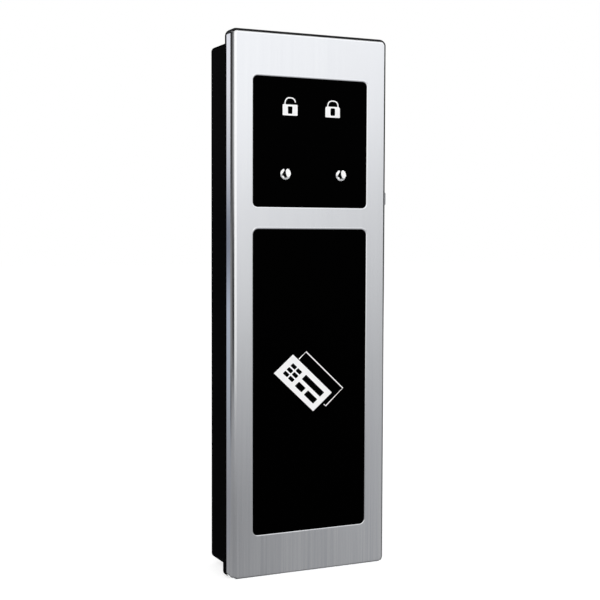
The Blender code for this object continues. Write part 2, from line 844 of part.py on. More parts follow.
def build_cell(index, low, high, finishes):
    """A cell and its spring. Every second cell stands the other way up."""
    up = index % 2 == 0
    x = cell_x(index)
    where = place(x, cell_middle_depth, low)
    bottom = contact_room + spring_length
    total = cell_length + cell_nub_height
    edge = cell_nub_height / 2
    profile = [(0, total), (cell_nub_radius, total), (cell_nub_radius, cell_length),
               (cell_radius - edge, cell_length), (cell_radius, cell_length - edge),
               (cell_radius, edge), (cell_radius - edge, 0), (0, 0)]
    name = f"cell_{index + 1}"
    span = high - low
    if up:
        turned(name, profile, finishes["cell"], where + Vector((0, 0, bottom)), round_steps)
        build_spring(index, where + Vector((0, 0, contact_room)), 1, finishes["bright"])
    else:
        start = where + Vector((0, 0, span - bottom))
        turned(name, profile, finishes["cell"], start, round_steps, (math.pi, 0, 0))
        build_spring(index, where + Vector((0, 0, span - contact_room)), -1, finishes["bright"])


def least_gap(points, wire, apart):
    """The least gap of a wound wire to itself, between points at least so many steps apart."""
    gaps = [(a - b).length for i, a in enumerate(points) for b in points[i + apart:]]
    return min(gaps) - 2 * wire


def build_spring(index, start, sign, finish):
    """A conical contact spring, wide at its plate and narrow at the cell."""
    points = []
    count = spring_turns * spring_steps
    first = spring_wire + seat_gap / 2
    length = spring_length - 2 * first
    for step in range(count + 1):
        share = step / count
        radius = spring_wide + (spring_narrow - spring_wide) * share
        angle = math.tau * spring_turns * share
        rise = first + length * share
        points.append(Vector((radius * math.cos(angle), radius * math.sin(angle), sign * rise)))
    add_wire(f"contact_spring_{index + 1}", points, spring_wire, finish, start)
    gap = least_gap(points, spring_wire, spring_steps // 2)
    print(f"contact spring {index + 1}: least gap to itself {gap * 1000:.2f} mm")


def add_wire(name, points, radius, finish, where=None):
    """A round wire through points, in its own place, as a curve with filled caps."""
    curve = bpy.data.curves.new(name, "CURVE")
    curve.dimensions = "3D"
    curve.bevel_depth = radius
    curve.bevel_resolution = 1
    curve.use_fill_caps = True
    spline = curve.splines.new("POLY")
    spline.points.add(len(points) - 1)
    for point, co in zip(spline.points, points):
        point.co = (*co, 1)
    wire = bpy.data.objects.new(name, curve)
    if where is not None:
        wire.location = where
    curve.materials.append(finish)
    parts.objects.link(wire)
    return wire


def contact_spans():
    """Where the contact plates stand: name, first and last cell, whether at the upper end."""
    return [("positive_terminal", 0, 0, True), ("upper_link", 1, 2, True),
            ("lower_link", 0, 1, False), ("negative_terminal", 2, 2, False)]


def add_contacts(low, high, finish):
    for name, first, last, upper in contact_spans():
        half = cell_radius - seat_gap
        x = (cell_x(first) - half, cell_x(last) + half)
        near = high - seat_gap - contact_thickness if upper else low + seat_gap
        depth = (cell_middle_depth - contact_height / 2, cell_middle_depth + contact_height / 2)
        add_box(name, x, depth, (near, near + contact_thickness), finish)


def gear_outline(teeth, module, phase):
    """One closed outline of involute teeth; a tooth's middle stands at the phase angle."""
    pitch = module * teeth / 2
    base = pitch * math.cos(pressure_angle)
    tip = pitch + addendum_share * module
    root = pitch - dedendum_share * module
    half_at_pitch = (math.pi * module / 2 - backlash) / (2 * pitch)
    involute = math.tan(pressure_angle) - pressure_angle

    def half_angle(radius):
        angle = math.acos(min(1, base / radius))
        return half_at_pitch + involute - (math.tan(angle) - angle)

    start = max(base, root)
    radii = [start + (tip - start) * step / (flank_points - 1) for step in range(flank_points)]
    side = [(root, half_angle(start))] if root < base else []
    side += [(radius, half_angle(radius)) for radius in radii]
    outline = []
    for tooth in range(teeth):
        middle = phase + tooth * math.tau / teeth
        flank = [(r, middle - half) for r, half in side] + [(r, middle + half) for r, half in reversed(side)]
        outline += [(r * math.cos(a), r * math.sin(a)) for r, a in flank]
    return outline


def add_gear(name, teeth, module, phase, where, depth, finish=None):
    mesh = outline_mesh(name, [gear_outline(teeth, module, phase)], depth[1] - depth[0])
    return add_object(name, mesh, place(where[0], sum(depth) / 2, where[1]), finish)


def direction(start, end):
    return math.atan2(end[1] - start[1], end[0] - start[0])


def build_gears(finishes):
    output = (0, output_height)
    middle = (-intermediate_side, intermediate_height)
    motor = (0, motor_height)
    to_middle = direction(output, middle)
    to_motor = direction(middle, motor)

    gear = add_gear("output_gear", output_teeth, gear_module, to_middle, output,
                    (outer_gears_front, outer_gears_back), finishes["white"])
    shaft = add_rod("output_shaft", 0, (outer_gears_front + gear_gap, wall_front - gear_gap), output_height,
                    output_shaft_radius)
    join(gear, shaft)
    half_pitch = math.pi / rack_pinion_teeth
    pinion = add_gear("rack_pinion", rack_pinion_teeth, rack_module, math.pi / 2 + half_pitch, output,
                      (bolt_front + gear_gap, bolt_front + gear_gap + rack_pinion_width))
    join(gear, pinion)

    gear = add_gear("intermediate_gear", intermediate_teeth, gear_module, to_motor, middle,
                    (inner_gears_front, inner_gears_back), finishes["white"])
    small_phase = to_middle + math.pi + math.pi / small_teeth
    pinion = add_gear("intermediate_pinion", small_teeth, gear_module, small_phase, middle,
                      (outer_gears_front, inner_gears_front + gear_width / 2))
    join(gear, pinion)
    bore = add_rod("intermediate_bore", middle[0], (outer_gears_front - overrun, plate_front), middle[1],
                   axle_radius + running_gap)
    cut(gear, bore)
    head_back = outer_gears_front - gear_gap / 2
    axle = add_rod("intermediate_axle", middle[0], (head_back - axle_head_height / 2, plate_back),
                   middle[1], axle_radius, finishes["bright"], round_steps)
    head = add_rod("axle_head", middle[0], (head_back - axle_head_height, head_back), middle[1],
                   axle_head_radius)
    join(axle, head)

    motor_phase = to_motor + math.pi + math.pi / small_teeth
    pinion = add_gear("motor_pinion", small_teeth, gear_module, motor_phase, motor,
                      (inner_gears_front, inner_gears_back), finishes["brass"])
    bore = add_rod("pinion_bore", 0, (inner_gears_front - overrun, inner_gears_back + overrun), motor_height,
                   motor_shaft_radius + running_gap)
    cut(pinion, bore)
    add_rod("motor_shaft", 0, (inner_gears_front - gear_gap / 2, motor_front + gear_width), motor_height,
            motor_shaft_radius, finishes["bright"])


def build_motor(finish):
    can_mesh = rod_mesh("motor", motor_radius, motor_length, round_steps)
    round_edges(can_mesh, rim_at(1), motor_edge_round, 2)
    can = add_object("motor", can_mesh, place(0, motor_front + motor_length / 2, motor_height), finish)
    boss = add_rod("motor_boss", 0, (plate_front + gear_gap, motor_front + overrun), motor_height,
                   motor_boss_radius)
    join(can, boss)
    bore = add_rod("motor_bore", 0, (plate_front - overrun, motor_front + gear_width + gear_gap),
                   motor_height, motor_shaft_radius + running_gap)
    cut(can, bore)
    for x in (-motor_hole_side, motor_hole_side):
        hole = add_rod("motor_screw_hole", x, (motor_front - overrun, motor_front + motor_screw[1]),
                       motor_height, motor_screw[0] + screw_hole_gap, None, small_round_steps)
        cut(can, hole)


def build_plate(finish):
    """The mechanism plate, with holes for its screws, the shafts, the motor and the intermediate axle."""
    middle = (plate_bottom + plate_top) / 2
    loops = [rounded_rectangle(2 * plate_half, plate_top - plate_bottom, plate_corner)]
    holes = [(x, height, plate_screw[0] + screw_hole_gap, small_round_steps) for x, height in plate_holes()]
    holes.append((0, output_height, output_shaft_radius + running_gap, round_steps))
    holes.append((-intermediate_side, intermediate_height, axle_radius + running_gap, round_steps))
    holes.append((0, motor_height, motor_boss_radius + running_gap, round_steps))
    for x, height, radius, steps in holes:
        loops.append(circle(radius, steps, (x, height - middle)))
    mesh = outline_mesh("mechanism_plate", loops, plate_thickness)
    plate = add_object("mechanism_plate", mesh, place(0, plate_front + plate_thickness / 2, middle), finish)
    radius, _, head_radius, head_height = motor_screw
    for x in (-motor_hole_side, motor_hole_side):
        hole = add_rod("motor_plate_hole", x, (plate_front - overrun, plate_back + overrun), motor_height,
                       radius + screw_hole_gap, None, small_round_steps)
        cut(plate, hole)
        mesh, middle = sink_cone("motor_plate_sink", radius + screw_hole_gap, head_radius + screw_hole_gap,
                                 head_height)
        sink = add_object("motor_plate_sink", mesh, place(x, plate_front + middle, motor_height))
        cut(plate, sink)


def bolt_outline():
    """The bolt seen from the front: nose at the right, ramp on top, rack teeth below."""
    top = bolt_top
    rise = ramp_slope_share * (ramp_end + ramp_start)
    nose = bolt_nose_round
    outline = [(bolt_tip - nose, bolt_bottom), (bolt_tip, bolt_bottom + nose), (bolt_tip, top - nose),
               (bolt_tip - nose, top), (ramp_end, top), (ramp_end, top + rise), (-ramp_start, top),
               (-bolt_tail, top), (-bolt_tail, bolt_bottom)]
    return outline + rack_teeth()


def rack_teeth():
    pitch = math.pi * rack_module
    first = math.ceil(-rack_start / pitch)
    last = math.floor((rack_end - pitch / 2) / pitch)
    spread = math.tan(pressure_angle)
    half = (pitch / 2 - backlash) / 2
    root_half = half + rack_dedendum * spread
    tip_half = half - rack_addendum * spread
    tip = rack_pitch_line - rack_addendum
    points = []
    for tooth in range(first, last + 1):
        middle = tooth * pitch
        points += [(middle - root_half, bolt_bottom), (middle - tip_half, tip),
                   (middle + tip_half, tip), (middle + root_half, bolt_bottom)]
    return points


def build_bolt(finish):
    outline = [(x, height - bolt_middle) for x, height in bolt_outline()]
    mesh = outline_mesh("bolt", [outline], bolt_depth)
    add_object("bolt", mesh, place(0, (bolt_front + bolt_back) / 2, bolt_middle), finish)


def build_bolt_switch(finishes):
    """The switch above the bolt, and the lever that the bolt's ramp lifts."""
    front = plate_back + seat_gap
    left = lever_pivot_x - lever_knuckle
    switch = add_box("bolt_switch", (left, left + bolt_switch_length), (front, front + bolt_switch_depth),
                     (bolt_switch_bottom, bolt_switch_bottom + bolt_switch_height), finishes["chip"])
    nub_x = left + bolt_switch_length / 3
    nub = add_box("switch_nub", (nub_x, nub_x + lever_thickness * 2),
                  (front + bolt_switch_depth / 3, front + 2 * bolt_switch_depth / 3),
                  (bolt_switch_bottom - lever_thickness, bolt_switch_bottom + lever_thickness))
    join(switch, nub)
    ramp_under_tip = bolt_top + ramp_slope_share * (lever_tip_x + ramp_start)
    tip_height = ramp_under_tip + slide_gap + lever_thickness / 2
    reach = lever_tip_x - lever_pivot_x
    drop = tip_height - lever_pivot_height
    lean = math.atan2(drop, reach)
    half = lever_thickness / 2
    knuckle = arc((0, 0), lever_knuckle, lean + math.pi / 4, lean + 7 * math.pi / 4, 8)
    tip = arc((reach, drop), half, lean - math.pi / 2, lean + math.pi / 2, 4)
    mesh = outline_mesh("switch_lever", [knuckle + tip], lever_width)
    where = place(lever_pivot_x, front + bolt_switch_depth / 2, lever_pivot_height)
    add_object("switch_lever", mesh, where, finishes["bright"])


def build_screw(name, sizes, where, finish, turn, countersunk=False):
    """A screw along its own -Z: head on top at the origin, shank below."""
    radius, length, head_radius, head_height = sizes
    if countersunk:
        profile = [(0, 0), (head_radius, 0), (radius, -head_height), (radius, -length), (0, -length)]
    else:
        edge = head_height / 3
        profile = [(0, head_height), (head_radius - edge, head_height), (head_radius, head_height - edge),
                   (head_radius, 0), (radius, 0), (radius, -length), (0, -length)]
    turned(name, profile, finish, where, small_round_steps, turn)


def build_screws(finish):
    back_turn = (math.pi / 2, 0, 0)
    for index, (x, height) in enumerate(board_holes()):
        where = place(x, board_front - seat_gap, height)
        build_screw(f"board_screw_{index + 1}", board_screw, where, finish, back_turn)
    for index, (x, height) in enumerate(plate_holes()):
        where = place(x, plate_front - seat_gap, height)
        build_screw(f"plate_screw_{index + 1}", plate_screw, where, finish, back_turn)
    for index, x in enumerate((-motor_hole_side, motor_hole_side)):
        where = place(x, plate_front, motor_height)
        build_screw(f"motor_screw_{index + 1}", motor_screw, where, finish, back_turn, True)
    for index, x in enumerate((-frame_screw_offset, frame_screw_offset)):
        where = place(x, frame_screw_depth(), 0)
        build_screw(f"frame_screw_{index + 1}", frame_screw, where, finish, (math.pi, 0, 0), True)


def smooth_route(stops, count):
    """Points along a smooth curve through the stops (Catmull-Rom)."""
    ends = [2 * stops[0] - stops[1], *stops, 2 * stops[-1] - stops[-2]]
    spans = len(stops) - 1
    points = []
    for step in range(count + 1):
        along = min(step * spans / count, spans - 1e-9)
        span = int(along)
        t = along - span
        a, b, c, d = ends[span:span + 4]
        point = b * 2 + (c - a) * t + (a * 2 - b * 5 + c * 4 - d) * t ** 2 + (b * 3 - a - c * 3 + d) * t ** 3
        points.append(point / 2)
    return points


def lead_routes():
    """The stops of each lead: right, depth and height, from its terminal to its connector's socket."""
    r = lead_radius
    bottom = connector_bottom()
    back_row = board_back + seat_gap + connector_depth / 2
    front_row = board_front - seat_gap - slim_connector_depth / 2
    quarter = connector_width / 4

    def into_socket(x, row):
        top = bottom + connector_height / 2 - seat_gap
        return [(x, row, bottom - 6 * r), (x, row, bottom - 2 * r), (x, row, top)]

    contact_front = cell_middle_depth - contact_height / 2 - seat_gap
    plus = (cell_x(0) + cell_radius / 2, contact_front - r / 2)
    contact_top = holder_top - holder_wall - seat_gap - contact_thickness / 2
    socket = -connector_width - quarter
    routes = {"battery_lead_positive": [
        (plus[0], plus[1], contact_top),
        (plus[0], plus[1] - r, holder_top + 2 * r),
        ((plus[0] + socket) / 2, back_row + 2 * r, holder_top + 6 * r),
        *into_socket(socket, back_row)]}

    low = holder_bottom + holder_wall + seat_gap + contact_thickness / 2
    side = (holder_half + cavity_half) / 2
    beside = holder_front - 3 * r
    over = holder_top + 4 * r
    socket = -connector_width + quarter
    routes["battery_lead_negative"] = [
        (cell_x(cell_count - 1) + cell_radius / 2, contact_front - r / 2, low),
        (side - 5 * r, contact_front - 2 * r, low + 3 * r),
        (side, beside, low + cell_radius),
        (side, beside, low + 2 * cell_radius),
        (side, beside, (low + holder_top) / 2),
        (side, beside, holder_top - cell_radius),
        (side - 6 * r, contact_front - 2 * r, holder_top - r),
        (side / 2, back_row + r, over),
        (quarter, back_row + r, over),
        (socket + quarter / 2, back_row, bottom - 12 * r),
        *into_socket(socket, back_row)]

    motor_side = motor_back - motor_length / 4
    motor_under = motor_height - motor_radius - seat_gap
    turn_low = bottom - 11 * r
    coil_top = coil_middle() + coil_height / 2 + seat_gap
    coil_depth = flange_back + seat_gap + coil_thickness / 2
    for name, sign in (("one", -1), ("two", 1)):
        x = connector_width + sign * quarter
        routes[f"motor_lead_{name}"] = [
            (sign * quarter, motor_side, motor_under),
            (sign * quarter + quarter, motor_side, (motor_under + bottom) / 2),
            (x, motor_side - 6 * r, turn_low + 4 * r),
            (x, (motor_side + back_row) / 2, turn_low),
            (x, back_row + 3 * r, turn_low + r),
            *into_socket(x, back_row)]
        x = sign * quarter
        routes[f"antenna_lead_{name}"] = [
            (x, coil_depth, coil_top), (x, (coil_depth + front_row) / 2, (coil_top + bottom) / 2),
            *into_socket(x, front_row)[1:]]
    return routes


def build_leads(finishes):
    colours = {"positive": "red", "negative": "grey", "one": "red", "two": "grey"}
    for name, stops in lead_routes().items():
        points = smooth_route([place(*stop) for stop in stops], 2 * (len(stops) - 1))
        add_wire(name, points, lead_radius, finishes[colours[name.rsplit("_", 1)[1]]])


for thing in list(bpy.data.objects):
    bpy.data.objects.remove(thing)
parts = new_collection("electronic_cabinet_lock")
cutters = new_collection("cutters")
finishes = make_finishes()
build_front_frame(finishes["steel"])
build_panels(finishes["gloss"])
build_lens("indicator_lens_left", left_lens_x, finishes["clear"])
build_lens("indicator_lens_right", right_lens_x, finishes["clear"])
build_housing(finishes["black"])
build_board(finishes)
build_antenna(finishes["copper"])
build_holder(finishes)
build_gears(finishes)
build_motor(finishes["bright"])
build_plate(finishes["bright"])
build_bolt(finishes["bright"])
build_bolt_switch(finishes)
build_screws(finishes["bright"])
build_leads(finishes)
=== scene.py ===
"""Looks of an electronic cabinet lock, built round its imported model, in metres with +Z up.

The front looks along -Y and the housing's back, which sits on the door, lies at Y = 0.
"""

import math

import bmesh
import bpy
from mathutils import Matrix, Vector


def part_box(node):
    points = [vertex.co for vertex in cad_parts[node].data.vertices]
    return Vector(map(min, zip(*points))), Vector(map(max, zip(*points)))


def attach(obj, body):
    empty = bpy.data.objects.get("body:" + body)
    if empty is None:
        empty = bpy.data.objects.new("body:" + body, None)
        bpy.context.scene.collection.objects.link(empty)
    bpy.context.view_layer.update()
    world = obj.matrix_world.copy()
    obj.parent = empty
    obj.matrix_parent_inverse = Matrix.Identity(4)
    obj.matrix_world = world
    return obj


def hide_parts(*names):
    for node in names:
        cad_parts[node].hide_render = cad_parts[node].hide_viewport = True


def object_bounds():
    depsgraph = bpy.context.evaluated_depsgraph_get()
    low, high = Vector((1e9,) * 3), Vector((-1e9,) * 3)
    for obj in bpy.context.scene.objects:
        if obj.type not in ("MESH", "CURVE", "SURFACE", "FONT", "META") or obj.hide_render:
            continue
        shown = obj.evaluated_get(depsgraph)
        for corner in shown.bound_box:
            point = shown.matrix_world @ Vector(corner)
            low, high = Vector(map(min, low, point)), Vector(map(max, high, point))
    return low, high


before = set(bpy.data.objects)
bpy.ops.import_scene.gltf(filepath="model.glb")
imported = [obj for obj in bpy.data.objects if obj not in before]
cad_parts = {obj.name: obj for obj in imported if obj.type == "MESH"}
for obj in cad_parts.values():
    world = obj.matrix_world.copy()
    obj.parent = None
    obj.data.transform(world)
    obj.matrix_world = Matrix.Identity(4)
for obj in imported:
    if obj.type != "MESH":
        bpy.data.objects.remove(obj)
cad_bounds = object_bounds()


# Housing
# The deep black case behind the frame, injection moulded in ABS with a fine spark-eroded grain.
# Its flat back sits on the door and takes four countersunk screws, reached from inside.

class Wire:
    """A socket in a node tree. Sums and products of wires add Math nodes."""

    def __init__(self, tree, socket=None):
        self.tree = tree
        self.socket = socket

    def node(self, kind, settings=None, values=None, output=0):
        """Adds a node of a type, with its settings, and a value or a wire for each socket.

        The setting stops gives a colour ramp its steps, as (place, colour).
        """
        made = self.tree.nodes.new(kind)
        settings = dict(settings or {})
        stops = settings.pop("stops", None)
        for name, value in settings.items():
            setattr(made, name, value)
        if stops is not None:
            ramp = made.color_ramp
            ramp.interpolation = "CONSTANT"
            ramp.elements.remove(ramp.elements[-1])
            for index, (position, colour) in enumerate(stops):
                element = ramp.elements.new(position) if index else ramp.elements[0]
                element.position = position
                element.color = (*colour, 1)
        for name, value in (values or {}).items():
            if isinstance(value, Wire):
                self.tree.links.new(value.socket, made.inputs[name])
            else:
                made.inputs[name].default_value = value
        return Wire(self.tree, made.outputs[output] if made.outputs else None)

    def math(self, operation, first, second):
        return self.node("ShaderNodeMath", {"operation": operation}, {0: first, 1: second})

    def __add__(self, other):
        return self.math("ADD", self, other)

    def __sub__(self, other):
        return self.math("SUBTRACT", self, other)

    def __mul__(self, other):
        return self.math("MULTIPLY", self, other)

    def __truediv__(self, other):
        return self.math("DIVIDE", self, other)

    def __radd__(self, other):
        return self.math("ADD", other, self)

    def __rsub__(self, other):
        return self.math("SUBTRACT", other, self)

    def __rmul__(self, other):
        return self.math("MULTIPLY", other, self)

    def __rtruediv__(self, other):
        return self.math("DIVIDE", other, self)


def new_finish(name, constants):
    """A material with these constant values in its Principled shader, then that shader and a wire."""
    finish = bpy.data.materials.new(name)
    finish.use_nodes = True
    shader = finish.node_tree.nodes["Principled BSDF"]
    for socket, value in constants.items():
        shader.inputs[socket].default_value = value
    return finish, shader, Wire(finish.node_tree)


def feed(shader, socket, wire):
    wire.tree.links.new(wire.socket, shader.inputs[socket])


def roughen(shader, noise, least, spread):
    feed(shader, "Roughness", least + noise * spread)


def stretched_noise(wire, per_metre, detail=3.0, roughness=0.5):
    """Noise in the object's own place, so many features a metre along X, Y and Z."""
    place = wire.node("ShaderNodeTexCoord", output=3)
    scaled = wire.node("ShaderNodeVectorMath", {"operation": "MULTIPLY"}, {0: place, 1: per_metre})
    return wire.node("ShaderNodeTexNoise", None, {"Vector": scaled, "Scale": 1.0, "Detail": detail,
                                                  "Roughness": roughness})


def blend_colours(wire, share, first, second):
    """The first colour, a value or a wire, where the share is 0 and the second where it is 1."""
    first, second = (colour if isinstance(colour, Wire) else (*colour, 1) for colour in (first, second))
    return wire.node("ShaderNodeMix", {"data_type": "RGBA"}, {0: share, 6: first, 7: second}, output=2)


def set_colour(shader, wire, share, first, second):
    feed(shader, "Base Color", blend_colours(wire, share, first, second))


def raise_bumps(wire, shader, height, distance, strength=1.0):
    normal = wire.node("ShaderNodeBump", None, {"Height": height, "Distance": distance,
                                                "Strength": strength})
    feed(shader, "Normal", normal)


clouds_per_metre = (60, 60, 60)
grain_height = 0.00003
grain_roughness = 0.25


def moulded_plastic(name, dark, light, roughness, grain, specular=0.5):
    """Moulded plastic: a colour that shifts a little, and an eroded grain of so many bumps a metre."""
    finish, shader, wire = new_finish(name, {"Specular IOR Level": specular})
    cloud = stretched_noise(wire, clouds_per_metre)
    set_colour(shader, wire, cloud, dark, light)
    pits = stretched_noise(wire, (grain, grain, grain), 2.0)
    feed(shader, "Roughness", roughness + (pits - 0.5) * grain_roughness)
    raise_bumps(wire, shader, pits, grain_height)
    return finish


weld_gap = 0.000002
bevel_steps = 3
bevel_angle = 50


def dress(name, finish, edge_round=0.0, smooth_angle=38):
    """Gives a CAD node its finish, closes its split facets, and rounds and smooths its edges."""
    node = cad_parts[name]
    mesh = node.data
    mesh.materials.clear()
    mesh.materials.append(finish)
    for polygon in mesh.polygons:
        polygon.material_index = 0
    flat_normals = mesh.attributes.get("custom_normal")
    if flat_normals is not None:
        mesh.attributes.remove(flat_normals)
    mesh.shade_smooth()
    weld = node.modifiers.new("weld", "WELD")
    weld.merge_threshold = weld_gap
    if edge_round:
        bevel = node.modifiers.new("bevel", "BEVEL")
        bevel.width = edge_round
        bevel.segments = bevel_steps
        bevel.limit_method = "ANGLE"
        bevel.angle_limit = math.radians(bevel_angle)
    split = node.modifiers.new("split", "EDGE_SPLIT")
    split.split_angle = math.radians(smooth_angle)
    node.modifiers.new("normals", "WEIGHTED_NORMAL").keep_sharp = True


fine_grain = (2600, 2600, 2600)
coarse_grain = (900, 900, 900)
backward_least = 0.7
case_roughness = 0.42


def case_plastic():
    """Deep black ABS, with a coarser, paler grain on the faces that look at the door."""
    finish, shader, wire = new_finish("case_black", {"Specular IOR Level": 0.002})
    cloud = stretched_noise(wire, clouds_per_metre)
    pits = stretched_noise(wire, fine_grain, 2.0)
    coarse = stretched_noise(wire, coarse_grain, 3.0, 0.6)
    sides = blend_colours(wire, cloud, (0.0010, 0.0010, 0.0011), (0.0022, 0.0022, 0.0024))
    backs = blend_colours(wire, coarse, (0.008, 0.008, 0.009), (0.024, 0.024, 0.026))
    normal = wire.node("ShaderNodeTexCoord", output=1)
    backward = wire.node("ShaderNodeSeparateXYZ", None, {0: normal}, output=1)
    share = wire.math("GREATER_THAN", backward, backward_least)
    set_colour(shader, wire, share, sides, backs)
    feed(shader, "Roughness", case_roughness + (pits - 0.5) * grain_roughness)
    raise_bumps(wire, shader, pits + coarse * share, grain_height)
    return finish


dress("housing", case_plastic())


# Bolt and its rack
# A bar of plated steel, ground on its flats, with rack teeth broached below and a shallow ramp on
# top. It slides in the housing's rails and stands out of the right side when the lock is shut.

scratch_share = 0.7
dull_share = 0.82
scratch_roughness = 0.2
scratch_height = 0.00001


def ground_steel(name, shade, roughness, lines, strength=0.5):
    """Steel with grinding lines, so many a metre along each axis."""
    finish, shader, wire = new_finish(name, {"Metallic": 1.0})
    scratches = stretched_noise(wire, lines, 4.0, 0.7)
    cloud = stretched_noise(wire, (90, 90, 90))
    share = scratches * scratch_share + cloud * (1 - scratch_share)
    dull = tuple(part * dull_share for part in shade)
    set_colour(shader, wire, share, dull, shade)
    feed(shader, "Roughness", roughness + (scratches - 0.5) * scratch_roughness)
    raise_bumps(wire, shader, scratches, scratch_height, strength)
    return finish


bolt_steel = ground_steel("bolt_steel", (0.72, 0.73, 0.75), roughness=0.27, lines=(150, 5000, 5000))
dress("bolt", bolt_steel, edge_round=0.00025)


# Gear train
# Two stepped gears of natural nylon, moulded, and a turned brass pinion on the motor's shaft. They
# run on a steel axle and in the mechanism plate's holes, with a little grease.

gear_nylon = moulded_plastic("gear_nylon", dark=(0.76, 0.74, 0.68), light=(0.84, 0.82, 0.77),
                             roughness=0.42, grain=1500)
for gear in ("output_gear", "intermediate_gear"):
    dress(gear, gear_nylon, smooth_angle=25)
turned_brass = ground_steel("turned_brass", (0.80, 0.62, 0.30), roughness=0.28, lines=(4000, 150, 4000))
dress("motor_pinion", turned_brass, smooth_angle=25)


# Motor and mechanism plate
# A flat direct-current motor in a drawn steel can, screwed under a stamped and plated plate that
# also holds the gears. Four screws fix the plate to posts on the housing's back.

can_steel = ground_steel("can_steel", (0.62, 0.63, 0.65), roughness=0.33, lines=(700, 700, 700),
                         strength=0.3)
plate_steel = ground_steel("plate_steel", (0.70, 0.70, 0.69), roughness=0.30, lines=(3500, 3500, 60))
for piece in ("motor", "motor_shaft", "intermediate_axle"):
    dress(piece, can_steel)
dress("mechanism_plate", plate_steel)


# Bolt switch
# A black microswitch that tells the board where the bolt is. The bolt's ramp lifts its spring
# steel lever, which turns on a pin in the switch's end.

component_black = moulded_plastic("component_black", dark=(0.012, 0.012, 0.013),
                                  light=(0.022, 0.022, 0.024), roughness=0.5, grain=1800)
spring_steel = ground_steel("spring_steel", (0.74, 0.73, 0.70), roughness=0.24, lines=(200, 4500, 4500))
dress("bolt_switch", component_black, edge_round=0.0002)
dress("switch_lever", spring_steel)


# Cells and their holder
# Three AA cells side by side in a moulded holder, every second one the other way up. Nickel-plated
# plates and wound springs join them in series.

cell_steel = (0.60, 0.60, 0.62)
cap_steel = (0.66, 0.66, 0.68)
sleeve_blue = (0.02, 0.05, 0.22)
sleeve_copper = (0.62, 0.33, 0.14)
sleeve_stops = [(0.0, cell_steel), (0.02, sleeve_blue), (0.68, sleeve_copper), (0.96, cap_steel)]
smudges_per_metre = (250, 250, 250)


def cell_sleeve(name, upside_down):
    """A printed foil sleeve, blue below a coppery third at the plus end, with steel at both ends."""
    finish, shader, wire = new_finish(name, {"Metallic": 0.55})
    place = wire.node("ShaderNodeTexCoord", output=3)
    height = wire.node("ShaderNodeSeparateXYZ", None, {0: place}, output=2)
    low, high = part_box("cell_1")
    share = (height - low.z) / (high.z - low.z)
    if upside_down:
        share = 1.0 - share
    bands = wire.node("ShaderNodeValToRGB", {"stops": sleeve_stops}, {0: share})
    feed(shader, "Base Color", bands)
    smudge = stretched_noise(wire, smudges_per_metre)
    roughen(shader, smudge, least=0.22, spread=0.15)
    return finish


for index in (1, 2, 3):
    dress(f"cell_{index}", cell_sleeve(f"cell_sleeve_{index}", index == 2))
    dress(f"contact_spring_{index}", spring_steel, smooth_angle=70)
holder_black = moulded_plastic("holder_black", dark=(0.010, 0.010, 0.011), light=(0.018, 0.018, 0.019),
                               roughness=0.45, grain=2200)
dress("battery_holder", holder_black)
for plate in ("positive_terminal", "upper_link", "lower_link", "negative_terminal"):
    dress(plate, spring_steel)


# Circuit board
# A two-sided board of green glass-fibre laminate, screwed to four posts. It carries the reader and
# controller chips, the lamps, the learn switch, the buzzer and three connectors.

track_scale = 420.0
track_height = 0.00004


def board_green():
    """Solder mask over copper tracks, which show as paler, raised runs."""
    finish, shader, wire = new_finish("board_green", {})
    place = wire.node("ShaderNodeTexCoord", output=3)
    upright = wire.node("ShaderNodeMapping", None, {"Vector": place, "Rotation": (math.pi / 2, 0, 0)})
    tracks = wire.node("ShaderNodeTexBrick", {"offset": 0.37, "squash": 1.6, "squash_frequency": 3}, {
        "Vector": upright, "Scale": track_scale, "Mortar Size": 0.07, "Mortar Smooth": 0.1,
        "Brick Width": 1.7, "Row Height": 0.6, "Color1": (0, 0, 0, 1), "Color2": (0, 0, 0, 1),
        "Mortar": (1, 1, 1, 1)}, output=1)
    set_colour(shader, wire, tracks, (0.012, 0.11, 0.045), (0.03, 0.21, 0.09))
    smudge = stretched_noise(wire, (300, 300, 300))
    roughen(shader, smudge, least=0.32, spread=0.12)
    raise_bumps(wire, shader, tracks, track_height)
    return finish


dress("main_board", board_green())
for chip in ("controller_chip", "reader_chip", "buzzer"):
    dress(chip, component_black, edge_round=0.00015)
dress("learn_switch", can_steel, edge_round=0.00012)
dress("learn_button", component_black)
header_nylon = moulded_plastic("header_nylon", dark=(0.80, 0.79, 0.74), light=(0.87, 0.86, 0.82),
                               roughness=0.4, grain=1800)
for header in ("battery_connector", "motor_connector", "antenna_connector"):
    dress(header, header_nylon, edge_round=0.0002)


# Antenna
# A flat coil of enamelled copper wire behind the lower panel, taped down. It powers and reads the
# card that is held in front.

ridges_per_metre = (2500, 2500, 2500)
ridge_height = 0.00005


def wound_copper():
    """Enamelled copper turns, side by side, as fine ridges."""
    finish, shader, wire = new_finish("wound_copper", {"Metallic": 1.0})
    ridges = stretched_noise(wire, ridges_per_metre, 1.0)
    set_colour(shader, wire, ridges, (0.45, 0.17, 0.07), (0.72, 0.33, 0.16))
    roughen(shader, ridges, least=0.28, spread=0.15)
    raise_bumps(wire, shader, ridges, ridge_height)
    return finish


dress("antenna_coil", wound_copper())


# Leads
# Tinned stranded wire in soft PVC, red and grey, soldered at the cells' plates, the motor and the
# coil, and crimped in each connector.

def insulation(name, dark, light):
    return moulded_plastic(name, dark, light, roughness=0.38, grain=900)


